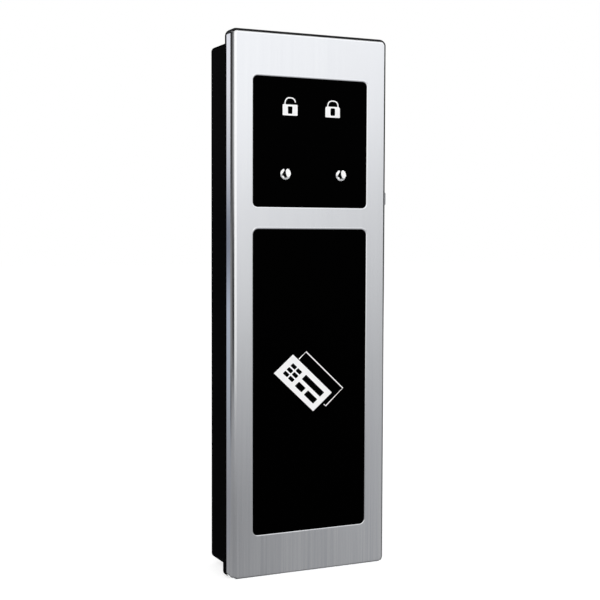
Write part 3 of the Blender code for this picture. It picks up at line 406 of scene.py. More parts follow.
red_insulation = insulation("red_insulation", (0.42, 0.012, 0.010), (0.55, 0.02, 0.018))
grey_insulation = insulation("grey_insulation", (0.20, 0.20, 0.21), (0.28, 0.28, 0.30))
for lead in ("battery_lead_positive", "motor_lead_one", "antenna_lead_one"):
    dress(lead, red_insulation, smooth_angle=80)
for lead in ("battery_lead_negative", "motor_lead_two", "antenna_lead_two"):
    dress(lead, grey_insulation, smooth_angle=80)


# Inner screws
# Zinc-plated pan-head screws hold the board and the plate to the posts, and two small countersunk
# ones hold the motor.

zinc = ground_steel("zinc", (0.68, 0.69, 0.70), roughness=0.30, lines=(1200, 1200, 1200), strength=0.3)
for group, count in (("board_screw", 4), ("plate_screw", 4), ("motor_screw", 2)):
    for index in range(count):
        dress(f"{group}_{index + 1}", zinc)


# Panels
# Two panels of gloss black acrylic, one behind each window. Each has a raised middle that fills its
# window and a flange that the frame traps against the housing.

gloss_black, gloss_shader, gloss_wire = new_finish("gloss_black", {
    "Base Color": (0.0002, 0.0002, 0.0002, 1), "Specular IOR Level": 0.006})
haze = stretched_noise(gloss_wire, (70, 70, 70))
roughen(gloss_shader, haze, least=0.05, spread=0.05)
for panel in ("lower_panel", "upper_panel"):
    dress(panel, gloss_black, edge_round=0.00018)


# Printed signs
# White screen-printed ink on the panels: an open padlock over the left lamp, a shut one over the
# right lamp, and the place to hold a card. The ink stands a few hundredths of a millimetre proud.

frame_low, frame_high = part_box("front_frame")
front_plane = frame_low.y
bottom_edge = frame_low.z
panel_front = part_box("upper_panel")[0].y
ink_thickness = 0.00004
outline_weld = 0.000001


def arc_points(centre, radius, start, end, steps):
    """Points along an arc, by angles in degrees."""
    points = []
    for step in range(steps + 1):
        angle = math.radians(start + (end - start) * step / steps)
        points.append((centre[0] + radius * math.cos(angle), centre[1] + radius * math.sin(angle)))
    return points


def circle_points(centre, radius, count):
    return arc_points(centre, radius, 0, 360 - 360 / count, count - 1)


def rounded_corners(corners, radii, steps=5):
    """A closed outline with each corner rounded to its radius, as a curve through the corner."""
    points = []
    count = len(corners)
    for index in range(count):
        here = Vector(corners[index])
        before = (Vector(corners[index - 1]) - here).normalized()
        after = (Vector(corners[(index + 1) % count]) - here).normalized()
        radius = radii[index] if hasattr(radii, "__len__") else radii
        start, end = here + before * radius, here + after * radius
        for step in range(steps + 1):
            t = step / steps
            point = start * (1 - t) ** 2 + here * 2 * t * (1 - t) + end * t ** 2
            points.append((point.x, point.y))
    return points


def band(points, width):
    """A closed outline that follows a line of points at half a width on each side."""
    left, right = [], []
    for index, point in enumerate(points):
        before = Vector(points[max(index - 1, 0)])
        after = Vector(points[min(index + 1, len(points) - 1)])
        along = (after - before).normalized()
        across = Vector((-along.y, along.x)) * width / 2
        left.append(Vector(point) + across)
        right.append(Vector(point) - across)
    outline = left + right[::-1]
    return [(point.x, point.y) for point in outline]


def add_object(name, data):
    made = bpy.data.objects.new(name, data)
    bpy.context.scene.collection.objects.link(made)
    return made


def flat_piece(name, outlines, front, thickness, finish):
    """Flat outlines in X and height above the bottom edge, as a plate whose front lies at a depth.

    An outline inside another one is a hole in it.
    """
    curve = bpy.data.curves.new(name, "CURVE")
    curve.dimensions = "2D"
    curve.fill_mode = "BOTH"
    curve.extrude = thickness / 2
    for outline in outlines:
        spline = curve.splines.new("POLY")
        spline.points.add(len(outline) - 1)
        for point, (x, height) in zip(spline.points, outline):
            point.co = (x, height + bottom_edge, 0, 1)
        spline.use_cyclic_u = True
    holder = add_object(name + "_outline", curve)
    graph = bpy.context.evaluated_depsgraph_get()
    mesh = bpy.data.meshes.new_from_object(holder.evaluated_get(graph))
    bpy.data.objects.remove(holder)
    bpy.data.curves.remove(curve)
    shape = bmesh.new()
    shape.from_mesh(mesh)
    bmesh.ops.remove_doubles(shape, verts=shape.verts, dist=outline_weld)
    bmesh.ops.rotate(shape, verts=shape.verts, matrix=Matrix.Rotation(math.pi / 2, 3, "X"))
    bmesh.ops.translate(shape, verts=shape.verts, vec=(0, front + thickness / 2, 0))
    bmesh.ops.recalc_face_normals(shape, faces=shape.faces)
    shape.to_mesh(mesh)
    shape.free()
    mesh.name = name
    mesh.materials.clear()
    mesh.materials.append(finish)
    return add_object(name, mesh)


def print_sign(name, outlines):
    sign = flat_piece(name, outlines, panel_front - ink_thickness, ink_thickness, white_ink)
    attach(sign, "lock_case")


white_ink, ink_shader, ink_wire = new_finish("white_ink", {"Specular IOR Level": 0.3})
mottle = stretched_noise(ink_wire, (1800, 1800, 1800))
set_colour(ink_shader, ink_wire, mottle, (0.94, 0.94, 0.94), (1.0, 1.0, 1.0))
roughen(ink_shader, mottle, least=0.42, spread=0.12)

padlock_bottom = 0.16119
padlock_top = 0.16498
padlock_bottom_round = 0.0003
shackle_line = 0.00042
shoulder_share = 0.80
arch_steps = 20
open_padlock_x = -0.00803
shut_padlock_x = 0.00847


def padlock_body(x, width, top_round):
    half = width / 2
    corners = [(x - half, padlock_bottom), (x + half, padlock_bottom), (x + half, padlock_top),
               (x - half, padlock_top)]
    return rounded_corners(corners, (padlock_bottom_round, padlock_bottom_round, top_round, top_round))


def keyhole(x, upper_width, lower_width, bottom, top, corner):
    corners = [(x - lower_width / 2, bottom), (x + lower_width / 2, bottom),
               (x + upper_width / 2, top), (x - upper_width / 2, top)]
    return rounded_corners(corners, corner)


def arch(x, half_width, height, end):
    """A square-shouldered arch on top of a padlock's body, from its left foot to an end angle."""
    points = []
    for step in range(arch_steps + 1):
        angle = math.radians(180 + (end - 180) * step / arch_steps)
        across = math.copysign(abs(math.cos(angle)) ** shoulder_share, math.cos(angle))
        rise = math.sin(angle) ** shoulder_share
        points.append((x + half_width * across, padlock_top + height * rise))
    return points


def print_padlock(name, body, hole, shackle):
    print_sign(f"{name}_padlock_body", [padlock_body(**body), keyhole(**hole)])
    print_sign(f"{name}_padlock_shackle", [band(arch(**shackle), shackle_line)])


print_padlock("open", {"x": open_padlock_x, "width": 0.00568, "top_round": 0.0003},
              {"x": open_padlock_x, "upper_width": 0.00178, "lower_width": 0.00164,
               "bottom": 0.16178, "top": 0.16432, "corner": 0.0003},
              {"x": open_padlock_x + 0.00005, "half_width": 0.00202, "height": 0.00231, "end": 15})
print_padlock("shut", {"x": shut_padlock_x, "width": 0.00571, "top_round": 0.0008},
              {"x": shut_padlock_x + 0.00007, "upper_width": 0.00181, "lower_width": 0.00181,
               "bottom": 0.16182, "top": 0.16444, "corner": 0.0005},
              {"x": shut_padlock_x + 0.00010, "half_width": 0.00201, "height": 0.00200, "end": 0})

card_corner = Vector((-0.01400, 0.07165))
card_along = Vector((0.01528, -0.01419))
card_across = Vector((0.00736, 0.00629))


def on_card(along_share, across_share):
    point = card_corner + card_along * along_share + card_across * across_share
    return (point.x, point.y)


def card_box(along, across, corner):
    """A rounded box on the card, between shares of its length and of its height."""
    corners = [on_card(along[0], across[0]), on_card(along[1], across[0]),
               on_card(along[1], across[1]), on_card(along[0], across[1])]
    return rounded_corners(corners, corner)


card_round = 0.00015
field_round = 0.0003
chip_along_share = (0.10, 0.36)
chip_across_share = (0.20, 0.80)
pad_columns = 2
pad_rows = 3
pad_gap_share = (0.012, 0.028)
field_shares = (((0.43, 0.90), (0.57, 0.80)), ((0.43, 0.60), (0.20, 0.43)), ((0.66, 0.90), (0.20, 0.43)))
column_step = (chip_along_share[1] - chip_along_share[0]) / pad_columns
row_step = (chip_across_share[1] - chip_across_share[0]) / pad_rows
card_outlines = [card_box((0, 1), (0, 1), card_round)]
for column in range(pad_columns):
    for row in range(pad_rows):
        left = chip_along_share[0] + column * column_step
        low = chip_across_share[0] + row * row_step
        along = (left + pad_gap_share[0], left + column_step - pad_gap_share[0])
        across = (low + pad_gap_share[1], low + row_step - pad_gap_share[1])
        card_outlines.append(card_box(along, across, field_round))
for along, across in field_shares:
    card_outlines.append(card_box(along, across, field_round))
print_sign("card_sign", card_outlines)
second_card = [(-0.00438, 0.07619), (-0.00155, 0.07872), (0.01301, 0.06514), (0.00623, 0.05904),
               (0.00551, 0.05969)]
second_card_line = 0.00040
print_sign("second_card_sign", [band(second_card, second_card_line)])


# Lamps and their lenses
# Two light-emitting diodes on the board shine through clear moulded domes. In each dome the
# bright lead frame shows: a wide cup on the right, a slim post on the left and a dark slot between.
# The chip's black carrier lies behind them. The lead frame's white carries a faint painted glow.

lens_clear, lens_shader, lens_wire = new_finish("lens_clear", {
    "Base Color": (0.05, 0.055, 0.06, 1), "Alpha": 0.04, "Specular IOR Level": 0.2})
lens_haze = stretched_noise(lens_wire, (900, 900, 900))
roughen(lens_shader, lens_haze, least=0.03, spread=0.03)


# The glow is emission painted into the finish, a painted glow and not a lit lamp.
def lamp_metal(name, dark, light, glow=0.0):
    finish, shader, wire = new_finish(name, {"Specular IOR Level": 0.3, "Emission Strength": glow,
                                             "Emission Color": (1, 1, 1, 1)})
    mottle = stretched_noise(wire, (1500, 1500, 1500))
    set_colour(shader, wire, mottle, dark, light)
    roughen(shader, mottle, least=0.25, spread=0.15)
    return finish


# The lead frame's white: near-white metal with a faint painted glow of 0.12, though the lamps are not
# lit.
white_with_painted_glow = lamp_metal("white_with_painted_glow", (0.95, 0.95, 0.95), (1.0, 1.0, 1.0), 0.12)
lamp_grey = lamp_metal("lamp_grey", (0.42, 0.43, 0.44), (0.64, 0.64, 0.66))
lamp_black = moulded_plastic("lamp_black", dark=(0.001, 0.001, 0.001), light=(0.003, 0.003, 0.003),
                             roughness=0.5, grain=1500, specular=0.02)
lamp_resin = moulded_plastic("lamp_resin", dark=(0.80, 0.79, 0.70), light=(0.88, 0.87, 0.80),
                             roughness=0.3, grain=1500)
lamp_radius = 0.00203
lamp_shift = 0.00010
lead_frame_thickness = 0.0002
lead_frame_depth = 0.00002
ring_depth = lead_frame_depth + 0.00008
carrier_depth = lead_frame_depth + 0.0003
ring_outer = lamp_radius * 0.97
ring_inner = lamp_radius * 0.64
ring_start = 185
ring_end = 330
ring_steps = 16
carrier_radius = lamp_radius * 0.98
cup_share = [(0.10, 0.66), (0.36, 0.88), (0.70, 0.70), (0.94, 0.30), (0.96, -0.10), (0.74, -0.42),
             (0.44, -0.50), (0.26, -0.36), (0.13, -0.05), (0.05, 0.30)]
post_share = [(-0.32, 0.86), (-0.64, 0.68), (-0.92, 0.34), (-0.95, 0.02), (-0.80, -0.14), (-0.64, 0.00),
              (-0.44, 0.26), (-0.24, 0.60)]
tip_share = [(-0.64, -0.36), (-0.44, -0.34), (-0.28, -0.50), (-0.34, -0.72), (-0.56, -0.64)]


def smooth_outline(points, steps=4):
    """A closed curve through the points, evenly rounded."""
    count = len(points)
    outline = []
    for index in range(count):
        a, b, c, d = (Vector(points[(index + shift) % count]) for shift in (-1, 0, 1, 2))
        for step in range(steps):
            t = step / steps
            point = 0.5 * (2 * b + (c - a) * t + (2 * a - 5 * b + 4 * c - d) * t ** 2
                           + (3 * b - a - 3 * c + d) * t ** 3)
            outline.append((point.x, point.y))
    return outline


def build_lamp(side):
    lens_name = f"indicator_lens_{side}"
    low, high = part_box(lens_name)
    middle = ((low.x + high.x) / 2 + lamp_shift, (low.z + high.z) / 2 - bottom_edge)
    dress(lens_name, lens_clear, smooth_angle=50)
    dress(f"indicator_lamp_{side}", lamp_resin)

    def on_lamp(shares):
        return smooth_outline([(middle[0] + x * lamp_radius, middle[1] + z * lamp_radius)
                               for x, z in shares])

    ring = arc_points(middle, ring_outer, ring_start, ring_end, ring_steps)
    ring += arc_points(middle, ring_inner, ring_end, ring_start, ring_steps)
    carrier = circle_points(middle, carrier_radius, 24)
    pieces = (("cup", on_lamp(cup_share), white_with_painted_glow, lead_frame_depth),
              ("post", on_lamp(post_share), white_with_painted_glow, lead_frame_depth),
              ("tip", on_lamp(tip_share), white_with_painted_glow, lead_frame_depth),
              ("ring", ring, lamp_grey, ring_depth), ("carrier", carrier, lamp_black, carrier_depth))
    for name, outline, finish, depth in pieces:
        piece = flat_piece(f"lamp_{name}_{side}", [outline], panel_front + depth, lead_frame_thickness,
                           finish)
        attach(piece, "lock_case")


build_lamp("left")
build_lamp("right")


# Front frame
# A tray of 1.2 mm stainless steel, pressed, with two windows punched in it. Its face is brushed
# lengthways, its edges are rounded, and two screws from below hold it on the housing.

streak_least = 0.38
streak_growth = 2.3
wear_power = 6.0
fine_weight = 0.7
wide_weight = 0.9
broad_weight = 0.7
brush_height = 0.000004


def brushed_stainless():
    """Stainless steel with fine vertical brush lines and wider streaks, strongest at the bottom."""
    finish, shader, wire = new_finish("brushed_stainless", {"Metallic": 1.0})
    fine = stretched_noise(wire, (5200, 5200, 24), 2.0, 0.6)
    wide = stretched_noise(wire, (900, 900, 9), 3.0, 0.6)
    broad = stretched_noise(wire, (120, 120, 4), 2.0, 0.5)
    place = wire.node("ShaderNodeTexCoord", output=3)
    height = wire.node("ShaderNodeSeparateXYZ", None, {0: place}, output=2)
    worn = 1.0 - (height - frame_low.z) / (frame_high.z - frame_low.z)
    streaks = (fine - 0.5) * fine_weight + (wide - 0.5) * wide_weight + (broad - 0.5) * broad_weight
    strength = streak_least + wire.math("POWER", worn, wear_power) * streak_growth
    share = 0.5 + streaks * strength
    set_colour(shader, wire, share, (0.82, 0.83, 0.85), (0.97, 0.975, 0.98))
    feed(shader, "Roughness", 0.12 + fine * 0.06 + wide * 0.04)
    raise_bumps(wire, shader, fine, brush_height, strength=0.25)
    return finish


def corner_centre(quarter, width, height, corner):
    """The centre of a rounded rectangle's corner: upper right, upper left, lower left, lower right."""
    sign_x = 1 if quarter in (0, 3) else -1
    sign_z = 1 if quarter in (0, 1) else -1
    return (sign_x * (width / 2 - corner), sign_z * (height / 2 - corner))


def rounded_ring(width, height, corner, steps):
    """An upright rounded rectangle round the middle, as (x, height from the middle)."""
    points = []
    for quarter in range(4):
        centre = corner_centre(quarter, width, height, corner)
        points += arc_points(centre, corner, 90 * quarter, 90 * (quarter + 1), steps)
    return points


def at_depth(outline, depth, middle=(0, 0)):
    """An upright outline as points of (x, depth from the front, height from the middle)."""
    return [(x + middle[0], depth, z + middle[1]) for x, z in outline]


def join_rows(shape, rows, closed):
    """Faces between neighbouring rows of vertices, all the way round where the rows are rings."""
    for near, far in zip(rows, rows[1:]):
        for index in range(len(near) if closed else len(near) - 1):
            after = (index + 1) % len(near)
            shape.faces.new((near[index], near[after], far[after], far[index]))


def loft(name, rings):
    """A closed shell through rings of points, with flat end caps."""
    shape = bmesh.new()
    rows = [[shape.verts.new((x, front_plane + depth, z)) for x, depth, z in ring] for ring in rings]
    join_rows(shape, rows, closed=True)
    shape.faces.new(rows[0])
    shape.faces.new(rows[-1])
    bmesh.ops.recalc_face_normals(shape, faces=shape.faces)
    mesh = bpy.data.meshes.new(name)
    shape.to_mesh(mesh)
    shape.free()
    return add_object(name, mesh)


def combine(piece, other, operation):
    """Cuts another shape out of a piece, or joins it on, for good."""
    step = piece.modifiers.new("combine", "BOOLEAN")
    step.operation = operation
    step.solver = "EXACT"
    step.object = other
    graph = bpy.context.evaluated_depsgraph_get()
    mesh = bpy.data.meshes.new_from_object(piece.evaluated_get(graph))
    piece.modifiers.clear()
    piece.data = mesh
    bpy.data.objects.remove(other)


def finish_piece(piece, finish, node, smooth_angle=40):
    """Paints and smooths a piece that stands in for a CAD node."""
    piece.data.materials.clear()
    piece.data.materials.append(finish)
    piece.data.shade_smooth()
    piece.data.set_sharp_from_angle(angle=math.radians(smooth_angle))
    piece.modifiers.new("normals", "WEIGHTED_NORMAL").keep_sharp = True
    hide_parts(node)
    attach(piece, "lock_case")


frame_width = frame_high.x - frame_low.x
frame_height = frame_high.z - frame_low.z
frame_depth = frame_high.y - frame_low.y
sheet = 0.0012
frame_corner = 0.0023
inner_round = 0.0008
edge_rounds = {"right": 0.0012, "top": 0.0018, "left": 0.0020, "bottom": 0.0011}
window_width = 0.0440
window_edge_round = 0.00045
window_edge_depth = 0.00018
window_rim_width = 0.00040
window_rim_rise = 0.00004
# Each window's lower edge, measured from the frame's, its height and its corner radius.
windows = ((0.0152, 0.1067, 0.0020), (0.1295, 0.0448, 0.0017))
corner_steps = 10
edge_steps = 14
inner_steps = 5
window_steps = 6


def edge_ring(turn, depth=None):
    """A ring of the frame's rounded edge, from 0 on the face to a quarter turn on the sides."""
    side_rounds = list(edge_rounds.values())
    points = []
    for quarter in range(4):
        x, z = corner_centre(quarter, frame_width, frame_height, frame_corner)
        for step in range(corner_steps + 1):
            share = step / corner_steps
            angle = math.radians(90 * (quarter + share))
            blend = math.sin(math.pi / 2 * share) ** 2
            round_here = side_rounds[quarter] * (1 - blend) + side_rounds[(quarter + 1) % 4] * blend
            reach = frame_corner - round_here * (1 - math.sin(turn))
            here = round_here * (1 - math.cos(turn)) if depth is None else depth
            points.append((x + reach * math.cos(angle), here, z + reach * math.sin(angle)))
    return points


rings = [edge_ring(math.pi / 2 * step / edge_steps) for step in range(edge_steps + 1)]
rings.append(edge_ring(math.pi / 2, frame_depth))
for step in range(inner_steps + 1):
    turn = math.pi / 2 * step / inner_steps
    inset = sheet + inner_round * (1 - math.cos(turn))
    outline = rounded_ring(frame_width - 2 * inset, frame_height - 2 * inset, frame_corner - inset,
                           corner_steps)
    if step == 0:
        rings.append(at_depth(outline, frame_depth))
    rings.append(at_depth(outline, sheet + inner_round * (1 - math.sin(turn))))
front = loft("brushed_front_frame", rings)

rim_width = window_width + 2 * window_edge_round
for window_bottom, window_height, window_corner in windows:
    middle = (0, window_bottom + window_height / 2 + bottom_edge)
    rim_height = window_height / 2 + window_edge_round
    rim_middle = (0, middle[1] + rim_height / 2)
    rim_low = rounded_ring(rim_width, rim_height + 2 * window_rim_width, window_corner + window_rim_width,
                           corner_steps)
    rim_high = rounded_ring(rim_width, rim_height, window_corner, corner_steps)
    rings = [at_depth(rim_low, sheet / 2, rim_middle), at_depth(rim_low, 0, rim_middle),
             at_depth(rim_high, -window_rim_rise, rim_middle)]
    rim = loft("window_rim", rings)
    combine(front, rim, "UNION")
    rings = []
    for step in range(window_steps + 1):
        turn = math.pi / 2 * step / window_steps
        grow = window_edge_round * (1 - math.sin(turn))
        outline = rounded_ring(window_width + 2 * grow, window_height + 2 * grow, window_corner + grow,
                               corner_steps)
        if step == 0:
            rings.append(at_depth(outline, -sheet, middle))
        rings.append(at_depth(outline, window_edge_depth * (1 - math.cos(turn)), middle))
    rings.append(at_depth(outline, 2 * sheet, middle))
    combine(front, loft("window_cutter", rings), "DIFFERENCE")

lug_offset = 0.0130
lug_width = 0.0060
lug_drop = 0.0015
lug_thickness = 0.0010
lug_corner = 0.0004
lug_corner_steps = 4
lug_height = lug_drop + sheet / 2
lug_outline = rounded_ring(lug_width, lug_height, lug_corner, lug_corner_steps)
for side in (-1, 1):
    middle = (side * lug_offset, frame_height / 2 - sheet / 2 - lug_height / 2)
    combine(front, loft("lug", [at_depth(lug_outline, depth, middle)
                                for depth in (frame_depth - lug_thickness, frame_depth)]), "UNION")


def round_ring(x, depth, radius, height):
    """A level circle round a screw's axis, at a height above the frame's bottom edge."""
    circle = circle_points((x, depth), radius, 32)
    return [(across, along, height + bottom_edge) for across, along in circle]


def screw_place(index):
    """A frame screw's place across, its axis' depth behind the front, and its length."""
    low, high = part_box(f"frame_screw_{index}")
    return (low.x + high.x) / 2, (low.y + high.y) / 2 - front_plane, high.z - low.z


screw_radius = 0.00085
screw_head_radius = 0.0015
screw_head_height = 0.0009
screw_gap = 0.0001
for index in (1, 2):
    screw_x, screw_depth, length = screw_place(index)
    seat = [(screw_head_radius + screw_gap, -sheet), (screw_head_radius + screw_gap, 0),
            (screw_radius + screw_gap, screw_head_height), (screw_radius + screw_gap, 2 * sheet)]
    combine(front, loft("screw_seat", [round_ring(screw_x, screw_depth, radius, height)
                                       for radius, height in seat]), "DIFFERENCE")
finish_piece(front, brushed_stainless(), "front_frame")


# Frame screws
# Two small countersunk stainless screws, driven up through the frame's bottom wall into bosses
# behind it. Their heads sit flush and have a cross recess.

recess_arm = 0.00090
recess_foot = 0.00035
recess_half_width = 0.00022
recess_depth = 0.00085
head_edge = 0.00008
thread_pitch = 0.0004
thread_root = 0.00066


def cross_ring(x, depth, arm, half_width, height):
    """A level cross outline, with an arm's length and half its width from the axis."""
    corners = []
    for turn in range(4):
        spin = Matrix.Rotation(math.pi / 2 * turn, 2)
        for point in ((half_width, half_width), (arm, half_width), (arm, -half_width)):
            corners.append(spin @ Vector(point))
    corners.sort(key=lambda corner: math.atan2(corner.y, corner.x))
    return [(x + corner.x, depth + corner.y, height + bottom_edge) for corner in corners]


for index in (1, 2):
    screw_x, screw_depth, length = screw_place(index)
    profile = [(screw_head_radius - head_edge, 0), (screw_head_radius, head_edge),
               (screw_radius, screw_head_height)]
    height = screw_head_height + thread_pitch
    while height + thread_pitch < length - screw_radius:
        profile += [(thread_root, height), (screw_radius, height + thread_pitch / 2)]
        height += thread_pitch
    profile += [(thread_root, length - screw_radius / 2), (thread_root / 2, length)]
    screw = loft(f"recessed_frame_screw_{index}", [round_ring(screw_x, screw_depth, radius, height)
                                                   for radius, height in profile])
    recess = [cross_ring(screw_x, screw_depth, arm, recess_half_width, height)
              for arm, height in ((recess_arm, -head_edge), (recess_foot, recess_depth))]
    combine(screw, loft("recess", recess), "DIFFERENCE")
    finish_piece(screw, zinc, f"frame_screw_{index}")


# View and studio
# The camera stands where the photograph's did: to the left of the lock and a little above its
# middle. The lock stands on a pale floor in soft light, and cards and flags that only reflections
# show shade its metal.

camera_place = Vector((-0.18335, -0.40730, 0.02483))
camera_yaw = math.radians(25.289)
camera_pitch = math.radians(3.106)
camera_roll = math.radians(0.186)
image_pixels = 600
focal_pixels = 1197.7
sensor = 0.036

forward = Vector((math.sin(camera_yaw) * math.cos(camera_pitch),
                  math.cos(camera_yaw) * math.cos(camera_pitch), -math.sin(camera_pitch)))
level_right = Vector((math.cos(camera_yaw), -math.sin(camera_yaw), 0))
level_up = level_right.cross(forward)
right = level_right * math.cos(camera_roll) + level_up * math.sin(camera_roll)
up = level_up * math.cos(camera_roll) - level_right * math.sin(camera_roll)
camera = bpy.data.cameras.new("camera")
camera.sensor_width = sensor * 1000
camera.lens = focal_pixels / image_pixels * sensor * 1000
camera.clip_start = 0.01
camera.clip_end = 50
camera_object = add_object("camera", camera)
camera_turn = Matrix((right, up, -forward)).transposed().to_4x4()
camera_object.matrix_world = Matrix.Translation(camera_place) @ camera_turn
bpy.context.scene.camera = camera_object
bpy.context.scene.view_settings.view_transform = "Standard"

white = (1, 1, 1, 1)
room_strength = 0.62
world = bpy.data.worlds.new("studio")
world.use_nodes = True
bpy.context.scene.world = world
world.node_tree.nodes.clear()
wire = Wire(world.node_tree)


def seen_directly(wire):
    """1 for rays that show the background: the camera's, reflected and transmitted ones."""
    camera_ray = wire.node("ShaderNodeLightPath", output=0)
    glossy_ray = Wire(wire.tree, camera_ray.socket.node.outputs["Is Glossy Ray"])
    transmitted = Wire(wire.tree, camera_ray.socket.node.outputs["Is Transmission Ray"])
    return wire.math("MAXIMUM", camera_ray, wire.math("MAXIMUM", glossy_ray, transmitted))


room_light = wire.node("ShaderNodeBackground", None, {"Color": white, "Strength": room_strength})
white_room = wire.node("ShaderNodeBackground", None, {"Color": white, "Strength": 1.0})
both = wire.node("ShaderNodeMixShader", None, {0: seen_directly(wire), 1: room_light, 2: white_room})
wire.node("ShaderNodeOutputWorld", None, {"Surface": both})


def bare_material(name):
    """A material without any nodes, and a wire in it."""
    material = bpy.data.materials.new(name)
    material.use_nodes = True
    material.node_tree.nodes.clear()
    return material, Wire(material.node_tree)


floor_level = cad_bounds[0].z - 0.0002
floor_half = 4.0
lit_grey = (0.80, 0.80, 0.80, 1)
shown_grey = (0.42, 0.42, 0.42, 1)
shown_glow = 0.76
floor_corners = [(x * floor_half, y * floor_half, floor_level)
                 for x, y in ((-1, -1), (1, -1), (1, 1), (-1, 1))]
floor_mesh = bpy.data.meshes.new("floor")
floor_mesh.from_pydata(floor_corners, [], [(0, 1, 2, 3)])
floor = add_object("floor", floor_mesh)
floor_paint, wire = bare_material("floor_paint")
matt = wire.node("ShaderNodeBsdfDiffuse", None, {"Color": lit_grey})
dim_matt = wire.node("ShaderNodeBsdfDiffuse", None, {"Color": shown_grey})
glow = wire.node("ShaderNodeEmission", None, {"Color": white, "Strength": shown_glow})
shown = wire.node("ShaderNodeAddShader", None, {0: dim_matt, 1: glow})
both = wire.node("ShaderNodeMixShader", None, {0: seen_directly(wire), 1: matt, 2: shown})
wire.node("ShaderNodeOutputMaterial", None, {"Surface": both})
floor_mesh.materials.append(floor_paint)


def add_lamp(name, where, size, power):
    """A soft lamp that looks at the lock's middle and shows in no reflection."""
    light = bpy.data.lights.new(name, "AREA")
    light.shape = "RECTANGLE"
    light.size, light.size_y = size
    light.energy = power
    lamp = add_object(name, light)
    lamp.location = where
    lamp.rotation_mode = "QUATERNION"
    lamp.rotation_quaternion = (-Vector(where)).to_track_quat("-Z", "Y")
    lamp.visible_glossy = False
    lamp.visible_camera = False


add_lamp("front_softbox", where=(-0.3, -1.3, 0.9), size=(1.2, 1.0), power=9.0)
add_lamp("back_softbox", where=(0.6, 1.2, 0.9), size=(1.0, 1.0), power=5.0)


def between(place, stops):
    """The value at a place on straight lines through stops of (place, value)."""
    if place <= stops[0][0]:
        return stops[0][1]
    for (low, first), (high, second) in zip(stops, stops[1:]):
        if place <= high:
            return first + (second - first) * (place - low) / (high - low)
    return stops[-1][1]


card_paper, wire = bare_material("card_paper")
shade_wire = wire.node("ShaderNodeAttribute", {"attribute_name": "shade"})
paper = wire.node("ShaderNodeEmission", None, {"Color": shade_wire, "Strength": 1.0})
wire.node("ShaderNodeOutputMaterial", None, {"Surface": paper})


def no_tint(point):
    return (1, 1, 1)


def add_card(name, rows, shade, tint=no_tint):
    """A card through rows of points, seen only in reflections, with a shade and a tint by place."""
    shape = bmesh.new()
    made = [[shape.verts.new(point) for point in row] for row in rows]
    join_rows(shape, made, closed=False)
    mesh = bpy.data.meshes.new(name)
    shape.to_mesh(mesh)
    shape.free()
    colours = mesh.color_attributes.new("shade", "FLOAT_COLOR", "POINT")
    for vertex, colour in zip(mesh.vertices, colours.data):
        value = shade(vertex.co)
        colour.color = (*(value * part for part in tint(vertex.co)), 1)
    mesh.materials.append(card_paper)
    card = add_object(name, mesh)
    for rays in ("camera", "diffuse", "transmission", "shadow"):
        setattr(card, f"visible_{rays}", False)


def round_lock(azimuth, distance, height):
    """A point at an azimuth from the front, positive to the right, in degrees."""
    angle = math.radians(azimuth)
    return (distance * math.sin(angle), -distance * math.cos(angle), height)


def azimuth_of(point):
    return math.degrees(math.atan2(point.x, -point.y))


card_distance = 0.60
card_top = 0.50
card_columns = 12
card_rows = 30
row_crowding = 1.5


def upright_card(name, azimuths, shade, tint=no_tint):
    """A card that stands on the floor between two azimuths, with more rows near the floor."""
    start, end = azimuths
    rows = []
    for row in range(card_rows + 1):
        height = floor_level + (card_top - floor_level) * (row / card_rows) ** row_crowding
        rows.append([round_lock(start + (end - start) * column / card_columns, card_distance, height)
                     for column in range(card_columns + 1)])
    add_card(name, rows, shade, tint)


half_width = frame_width / 2
half_depth = -front_plane / 2
mirror_slope = 0.43
mirror_spread = 1.83
mirror_span = (-1.6, 1.0)
left_foot_azimuths = (-120, -85)
left_azimuth = -50
right_azimuth = 160


def ground_shade(point):
    """Grey round the lock and paler outwards, dark right under it and at both flags' feet.

    It also changes across the frame's face, from the left (-1) to the right (1), where it is mirrored.
    """
    beside = max(abs(point.x) - half_width, 0)
    away = math.hypot(beside, max(abs(point.y + half_depth) - half_depth, 0))
    reach = max(front_plane - point.y, 0)
    across = (point.x - mirror_slope * reach) / (1 + mirror_spread * reach) / half_width
    across = min(max(across, mirror_span[0]), mirror_span[1])
    sideways = between(away, [(0.02, 0.12), (0.11, 0.165), (0.23, 0.08), (0.39, 0.03)])
    grey = between(away, [(0.0, 0.05), (0.0010, 0.08), (0.002, 0.325), (0.111, 0.332), (0.176, 0.352),
                          (0.309, 0.393), (0.42, 0.428), (0.57, 0.45)])
    azimuth = azimuth_of(point)
    if left_foot_azimuths[0] < azimuth < left_foot_azimuths[1]:
        grey *= between(away, [(0.28, 1.0), (0.38, 0.2)])
    if azimuth < left_azimuth:
        grey *= between(away, [(0.15, 1.05), (0.4, 0.83)])
    if azimuth < right_azimuth:
        grey *= between(azimuth, [(43, 1.0), (54, 0.35)])
    return grey * (1 + sideways * across)


back_left_azimuth = -100


def ground_tint(point):
    """A little blue, and more so behind the lock's left side."""
    if azimuth_of(point) > back_left_azimuth:
        return (0.99, 1.0, 1.035)
    away = math.hypot(point.x, point.y)
    return between(away, [(0.18, Vector((0.95, 0.97, 1.07))), (0.29, Vector((0.87, 0.93, 1.03))),
                          (0.46, Vector((1.03, 1.12, 1.28)))])


mirrored_azimuth = 25
turn_fall = 0.012
turn_most = 15


